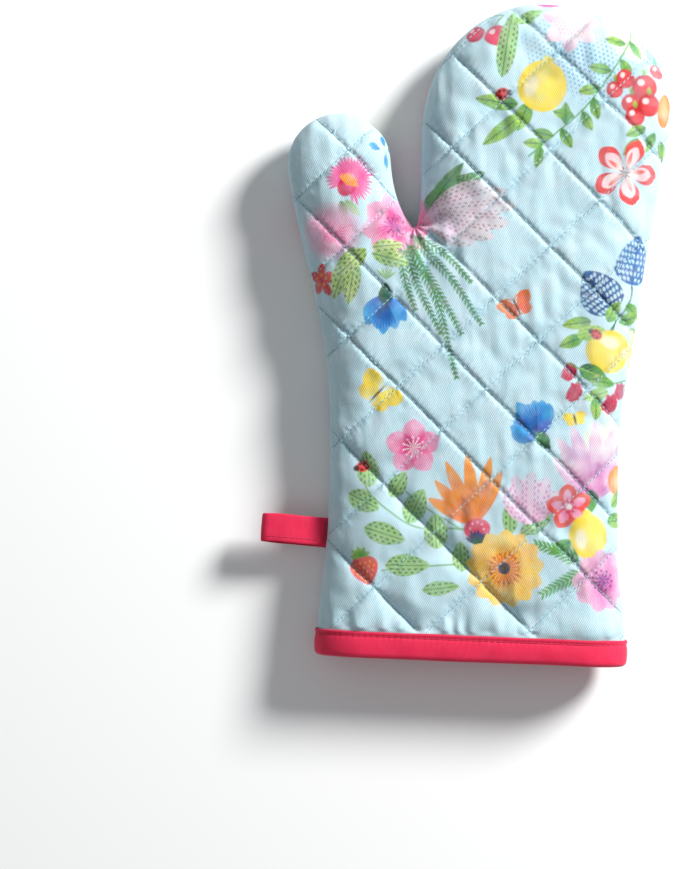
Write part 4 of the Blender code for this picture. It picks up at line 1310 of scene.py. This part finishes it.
def seam_allowance():
    """The raw edges of both panels, overlocked together inside the mitt."""
    line, normal = seam_frame(1.2, 0.3)
    keep = line[:, 1] > CUFF_TOP + 2
    line, normal = line[keep], normal[keep]
    s = np.arange(len(line)) * 1.0
    section = []
    for a in np.linspace(0, math.tau, 20, endpoint=False):
        section.append((math.copysign(abs(math.cos(a)) ** 0.5, math.cos(a)),
                        math.copysign(abs(math.sin(a)) ** 0.7, math.sin(a))))
    wave = 0.35 * np.sin(s / 5.1) + 0.25 * np.sin(s / 2.3 + 1)
    ruffle = 0.12 * np.cos(s * 2.1)
    rows = []
    for u, v in section:
        near = 10.0 + 3.2 * u + (0.3 * ruffle if u > 0 else 0)
        place = line + normal * np.asarray(near).reshape(-1, 1)
        height = v * (1.15 + ruffle * max(u, 0)) + 0.5 * wave * (u + 1) / 2
        rows.append(np.column_stack((place, height)))
    sections = np.stack(rows, 1)
    obj = sweep("seam_allowance_edges", sections)
    flat = np.stack([np.column_stack((s * 1.2, np.full(len(s), k * 0.9))) for k in range(len(section))], 1)
    add_vector_attribute(obj.data, "flat", flat.reshape(-1, 2))
    return obj, line, normal, wave


def seam_stitches(line, normal, wave):
    """The side seam's own stitches, along the allowance's outer part on both of its faces."""
    runs = []
    for side in (-1, 1):
        place = line + normal * 8.2
        run = np.column_stack((place, side * 1.22 + 0.1 * wave))
        runs.append(stitch_run(run, 2.6, 1.9))
    return stitches("side_seam_stitches", np.vstack(runs), 0.24)


# ---- Binding round the hem -----------------------------------------------------------------------

def hem_ring(step):
    """Points of the cloth at the hem, all the way round, with the way out from each."""
    middle, half = 0.1, 76.9
    angles = np.linspace(0, np.pi / 2, 80)
    x, z = half - SIDE_ROUND * (1 - np.cos(angles)), CUFF_RISE * np.sin(angles)
    upper = np.vstack((np.column_stack((x, z)), np.column_stack((-x, z))[::-1]))
    ring = np.vstack((upper, (upper * (1, -1))[::-1][1:-1]))
    closed = np.vstack((ring, ring[:1]))
    reach = run_length(closed)
    count = round(reach[-1] / step)
    at = np.arange(count) * reach[-1] / count
    ring = np.column_stack([np.interp(at, reach, closed[:, k]) for k in (0, 1)])
    ahead = np.roll(ring, -1, axis=0) - np.roll(ring, 1, axis=0)
    return ring + (middle, 0), unit(np.column_stack((ahead[:, 1], -ahead[:, 0]))), at


TAPE = 0.95                     # thickness of the binding's tape
STITCH_HEIGHT = CUFF_TOP - 2.0  # its topstitch
OUTER_LEG, INNER_LEG = 0.55, -6.65   # the legs' middles, outwards from the cloth's face
FOLD_MIDDLE, FOLD_END = -3.05, 2.8   # the fold's middle, and where the legs go over into it
LEG_POINTS = 22


def binding():
    """The folded tape: a flat leg outside, a rounded fold under the hem and a leg inside."""
    ring, out, s = hem_ring(0.8)
    down = np.linspace(CUFF_TOP, FOLD_END, LEG_POINTS)
    turn = np.linspace(0, np.pi, 18)[1:-1]
    fold_t = FOLD_MIDDLE + 3.6 * np.sign(np.cos(turn)) * np.abs(np.cos(turn)) ** (2 / 2.6)
    fold_y = 2.85 - 2.35 * np.sin(turn) ** (2 / 2.6)
    middle = np.vstack((np.column_stack((np.full(LEG_POINTS, OUTER_LEG), down)),
                        np.column_stack((fold_t, fold_y)),
                        np.column_stack((np.full(LEG_POINTS, INNER_LEG), down[::-1]))))
    ahead = np.gradient(middle, axis=0)
    side = unit(np.column_stack((-ahead[:, 1], ahead[:, 0])))
    outside, inside_face = middle + side * TAPE / 2, middle - side * TAPE / 2
    crown = np.vstack((middle[-1] + (0, TAPE * 0.5), middle[0] + (0, TAPE * 0.5)))
    section = np.vstack((outside, crown[:1], inside_face[::-1], crown[1:]))
    t, y = section[:, 0], section[:, 1]
    sign = np.where(t > FOLD_MIDDLE, 1.0, -1.0)
    swell = np.sin(np.pi * np.clip((y - 1.5) / (STITCH_HEIGHT - 1.5), 0, 1))
    lip = np.exp(-((y - CUFF_TOP + 0.4) / 0.8) ** 2)
    dip = np.exp(-((y - STITCH_HEIGHT) / 0.75) ** 2)
    near_stitch = np.exp(-((y - STITCH_HEIGHT) / 2.6) ** 2)
    slow = noise(np.column_stack((s, s * 0)), 23.0, 71)
    quick = noise(np.column_stack((s, s * 0 + 9)), 6.0, 72)
    waves = np.cos(2 * np.pi * s / 3.0 + 4 * slow)
    offset = (0.38 * swell[None] * (0.6 + 0.8 * slow[:, None]) + 0.22 * lip[None]
              - 0.38 * dip[None] * (0.8 + 0.2 * np.cos(2 * np.pi * s / 3.0))[:, None]
              + 0.09 * near_stitch[None] * waves[:, None] + 0.2 * (quick[:, None] - 0.5) * swell[None])
    t = t[None] + sign[None] * offset
    rise = smooth_step((y - 9) / 4)
    y = y[None] + 0.35 * (noise(np.column_stack((s, s * 0 + 5)), 15.0, 73)[:, None] - 0.5) * rise[None]
    y = y + 0.3 * (slow[:, None] - 0.5) * (1 - smooth_step(y / 5))
    x = ring[:, :1] + out[:, :1] * t
    z = ring[:, 1:] + out[:, 1:] * t
    sections = np.stack((x, y, z), 2)
    obj = sweep("hem_binding_tape", sections, closed_path=True)
    flat = np.stack(np.broadcast_arrays(s[:, None], run_length(section)[None]), 2).reshape(-1, 2)
    add_vector_attribute(obj.data, "flat", flat)
    return obj


def binding_stitches(name, cloth, outer):
    """The topstitch round one leg of the binding, outside or inside."""
    ring, out, s = hem_ring(0.5)
    tree = BVHTree.FromObject(cloth, bpy.context.evaluated_depsgraph_get())
    t = 1.05 if outer else -7.1
    line = np.column_stack((ring[:, 0] + out[:, 0] * t, np.full(len(s), STITCH_HEIGHT),
                            ring[:, 1] + out[:, 1] * t))
    found = []
    for p in world(line[12:-12]):
        place, normal, *_ = tree.find_nearest(Vector(p))
        found.append(place + normal * (0.02 * MM))
    return stitches(name, stitch_run((np.array(found) - HEM) / MM, 3.0, 2.35), 0.30)


# ---- Hanging loop --------------------------------------------------------------------------------

LOOP_LOW, LOOP_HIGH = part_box("hanging_loop")
LOOP_MIDDLE = ((LOOP_LOW.y + LOOP_HIGH.y) / 2 - HEM[1]) / MM
LOOP_END = (LOOP_LOW.x - HEM[0]) / MM
LOOP_ROOT = (LOOP_HIGH.x - HEM[0]) / MM
LOOP_WIDTH = 14.0
LOOP_TUCK = 3.0             # the tape's ends go this far into the seam
LOOP_LEAN = math.radians(-3.0)
LOOP_STITCH = LOOP_WIDTH / 2 - 2.4      # the edge stitch's distance from the tape's middle
LOOP_SKEW = -1.1            # the lower run lies this far towards the hem, so that its edge shows


def loop_line(step):
    """The middle of the loop's tape: out along the top, round the fold and back underneath."""
    x0, x1 = LOOP_ROOT - 0.6, LOOP_END + 0.6
    eye, joined = 2.75, 0.75        # half the runs' distance at the eye and at the seam
    tucked = x0 + LOOP_TUCK
    nodes = [(tucked, joined), (x0 - 4.5, joined), (x0 - 11, 1.9), (x0 - 18, eye), (x1 + 5.5, eye)]
    guide = np.array([(tucked + 4, joined)] + nodes + [(x1 + 2.6, eye)])
    bend = np.linspace(np.pi / 2, np.pi, 16)
    fold = np.column_stack((x1 + 3.2 + 3.2 * np.cos(bend), eye * np.sin(bend)))
    half = np.vstack((spline(guide, 14), fold))
    line = np.vstack((half, (half * (1, -1))[::-1][1:]))
    reach = run_length(line)
    at = np.linspace(0, reach[-1], round(reach[-1] / step) + 1)
    return np.column_stack([np.interp(at, reach, line[:, k]) for k in (0, 1)]), at


def loop_frame(step):
    """The loop's middle line with the way out of the tape, how far along, and its sideways shift."""
    line, at = loop_line(step)
    ahead = unit(np.gradient(line, axis=0))
    shift = LOOP_SKEW * smooth_step((at / at[-1] - 0.35) / 0.3)
    return line, np.column_stack((-ahead[:, 1], ahead[:, 0])), at, shift


def lean(points):
    """Turns points of the loop a little about its root, so that it lies slightly askew."""
    p = points.copy()
    dx, dy = points[..., 0] - LOOP_ROOT, points[..., 1] - LOOP_MIDDLE
    p[..., 0] = LOOP_ROOT + dx * math.cos(LOOP_LEAN) - dy * math.sin(LOOP_LEAN)
    p[..., 1] = LOOP_MIDDLE + dx * math.sin(LOOP_LEAN) + dy * math.cos(LOOP_LEAN)
    return p


def loop_offset(at, across):
    """How far the tape's faces stand out from plain: a dip along the stitch line, and puckers."""
    dip = np.exp(-((across + LOOP_STITCH) / 0.7) ** 2)
    near = np.exp(-((across + LOOP_STITCH) / 2.2) ** 2)
    swell = np.cos(np.pi * across / LOOP_WIDTH * 0.9)
    puckers = np.cos(2 * np.pi * at / 2.9 + 3 * noise(np.column_stack((at, at * 0)), 9.0, 83))
    return -0.24 * dip + 0.10 * near * puckers + 0.18 * swell


def hanging_loop():
    """The loop's folded tape."""
    line, out, at, skew = loop_frame(0.5)
    half_width, thick = LOOP_WIDTH / 2, 1.1
    width_places = half_width * np.sin(np.linspace(-np.pi / 2, np.pi / 2, 26))
    edge = np.sqrt(np.clip(1 - (np.abs(width_places) / half_width) ** 6, 0, 1))
    slow = noise(np.column_stack((at, at * 0 + 3)), 12.0, 84) - 0.5
    rows = []
    there = list(zip(width_places, edge))
    for face, share, places in ((1, 1.0, there), (-1, 0.25, there[-2:0:-1])):
        for w, e in places:
            stand = face * (thick / 2 * e + share * e * loop_offset(at, np.full(len(at), w)))
            stand = stand + 0.3 * slow * (w / half_width)
            x, z = line[:, 0] + out[:, 0] * stand, line[:, 1] + out[:, 1] * stand
            y = LOOP_MIDDLE + w + skew + 0.3 * slow
            rows.append(np.column_stack((x, y, z)))
    sections = lean(np.stack(rows, 1))
    obj = sweep("hanging_loop_tape", sections)
    places = np.concatenate((width_places, LOOP_WIDTH + 1 + width_places[1:-1]))
    flat = np.stack(np.broadcast_arrays(at[:, None], places[None]), 2).reshape(-1, 2)
    add_vector_attribute(obj.data, "flat", flat)
    return obj


def loop_stitches(name, cloth):
    """The line of stitching along one edge of the loop, on both faces of its tape."""
    line, out, _, skew = loop_frame(0.4)
    tree = BVHTree.FromObject(cloth, bpy.context.evaluated_depsgraph_get())
    runs = []
    for face in (1.2, -1.2):
        place = np.column_stack((line[:, 0] + out[:, 0] * face, LOOP_MIDDLE - LOOP_STITCH + skew,
                                 line[:, 1] + out[:, 1] * face))[14:-14]
        found = [tree.find_nearest(Vector(p)) for p in world(lean(place))]
        found = np.array([h[0] + h[1] * (0.03 * MM) for h in found])
        runs.append(stitch_run((found - HEM) / MM, 2.9, 2.2))
    return stitches(name, np.vstack(runs), 0.25)


def bar_tack(name, cloth, side):
    """A dense zigzag across the tape where it goes into the seam."""
    tree = BVHTree.FromObject(cloth, bpy.context.evaluated_depsgraph_get())
    rows = np.arange(-LOOP_WIDTH / 2 + 1.6, LOOP_WIDTH / 2 - 1.6, 0.42)
    ends = []
    for w in rows:
        pair = []
        for x, y in ((LOOP_ROOT + 0.7, w), (LOOP_ROOT - 0.9, w + 0.21)):
            p = lean(np.array((x, LOOP_MIDDLE + y + (LOOP_SKEW if side < 0 else 0), side * 2.2)))
            hit = tree.ray_cast(Vector(world(p)), Vector((0, 0, -side)))
            place = (np.array(hit[0]) - HEM) / MM if hit[0] is not None else p
            pair.append(place + (0, 0, 0.05 * side))
        ends.append(pair)
    return stitches(name, np.array(ends), 0.24)


# ---- The object ----------------------------------------------------------------------------------

PANELS = (("front", 1, 11, 0.05, print_front), ("back", -1, 37, 0.04, print_back))

corners = FLAT[np.array(FACES)]

for label, side, seed, slack, paint in PANELS:
    face = simulated(side, slack, seed)
    shell = panel(f"{label}_printed_cloth", side, face, seed)
    flat = read_vector_attribute(shell.data, "flat")[:, :2]
    picture = Print(flat, seed)
    paint(picture)
    colours = shell.data.color_attributes.new("print", "FLOAT_COLOR", "POINT")
    rgba = np.ones((len(flat), 4), np.float32)
    rgba[:, :3] = np.clip(picture.colour, 0, 1)
    colours.data.foreach_set("color", rgba.ravel())
    planar_map(shell.data, flat)
    hand_over(shell, COTTON, "mitt", f"{label}_shell")
    thread = quilting_stitches(f"{label}_quilting_stitches", shell, side)
    hand_over(thread, BLUE_THREAD, "mitt", f"{label}_quilting_thread")
    inner = lining(f"{label}_lining_cloth", side)
    hand_over(inner, LINING_CLOTH, "mitt", f"{label}_lining")
    wadding = batting(f"{label}_wadding", face, side)
    hand_over(wadding, BATTING_FIBRE, "mitt", f"{label}_batting")

seam, seam_path, seam_normal, seam_wave = seam_allowance()
hand_over(seam, SEAM_TAPE, "mitt", "seam_allowance")
side_seam = seam_stitches(seam_path, seam_normal, seam_wave)
hand_over(side_seam, WHITE_THREAD, "mitt", "side_seam_thread")

tape = hand_over(binding(), RED_TWILL, "mitt", "cuff_binding")
hand_over(binding_stitches("binding_topstitch_outer", tape, True), RED_THREAD, "mitt",
          "binding_stitch_outer")
hand_over(binding_stitches("binding_topstitch_inner", tape, False), RED_THREAD, "mitt",
          "binding_stitch_inner")

loop = hand_over(hanging_loop(), RED_TWILL, "loop", "hanging_loop")
hand_over(loop_stitches("loop_topstitch", loop), RED_THREAD, "loop", "loop_edge_stitch")
hand_over(bar_tack("loop_bar_tack_upper", loop, 1), RED_THREAD, "loop", "loop_tack_upper")
hand_over(bar_tack("loop_bar_tack_lower", loop, -1), RED_THREAD, "loop", "loop_tack_lower")


# ---- Camera, light and floor ---------------------------------------------------------------------

VIEW_TURN = math.radians(2.3)   # the mitt lies this far round from the picture's upright
VIEW_MIDDLE = (-69.7, 110.3)    # what the camera is above
VIEW_HEIGHT = 434.5             # length of the seam's plane from the picture's top to its bottom
CAMERA_HEIGHT = 1.6             # metres
SENSOR = 24

camera_data = bpy.data.cameras.new("Camera")
camera_data.sensor_fit = "VERTICAL"
camera_data.sensor_height = SENSOR
camera_data.lens = SENSOR * CAMERA_HEIGHT / (VIEW_HEIGHT * MM)
camera_data.clip_end = 20
camera = bpy.data.objects.new("Camera", camera_data)
scene.collection.objects.link(camera)
above = world((*VIEW_MIDDLE, 0)) + np.array((0, 0, CAMERA_HEIGHT))
camera.matrix_world = Matrix.Translation(Vector(above)) @ Matrix.Rotation(VIEW_TURN, 4, "Z")
scene.camera = camera


def area_light(name, place, aim, size, power, colour):
    """A round soft light that shines from a place towards another."""
    data = bpy.data.lights.new(name, "AREA")
    data.shape = "DISK"
    data.size = size
    data.energy = power
    data.color = colour
    obj = bpy.data.objects.new(name, data)
    obj.location = place
    obj.rotation_euler = (Vector(aim) - Vector(place)).to_track_quat("-Z", "Y").to_euler()
    scene.collection.objects.link(obj)


area_light("Key", (1.2, 1.05, 1.0), (0, 0, 0.02), 0.6, 66, (1.0, 0.995, 0.985))
area_light("Sky", (-0.5, -0.2, 1.8), (0, 0, 0), 2.2, 5, (0.95, 0.98, 1.0))

background = bpy.data.worlds.new("Studio")
scene.world = background
background.use_nodes = True
background.node_tree.nodes["Background"].inputs["Color"].default_value = (0.93, 0.97, 1.0, 1)
background.node_tree.nodes["Background"].inputs["Strength"].default_value = 0.24
scene.view_settings.view_transform = "Standard"

floor_material = Nodes("Floor").finish({"Base Color": (0.90, 0.90, 0.90, 1), "Roughness": 0.9,
                                        "Specular IOR Level": 0.1})
FLOOR = 4.0               # half its side, in metres
corners = [(-FLOOR, -FLOOR, 0), (FLOOR, -FLOOR, 0), (FLOOR, FLOOR, 0), (-FLOOR, FLOOR, 0)]
floor = make_object("floor", corners, [(0, 1, 2, 3)], smooth=False)
floor.data.materials.append(floor_material)
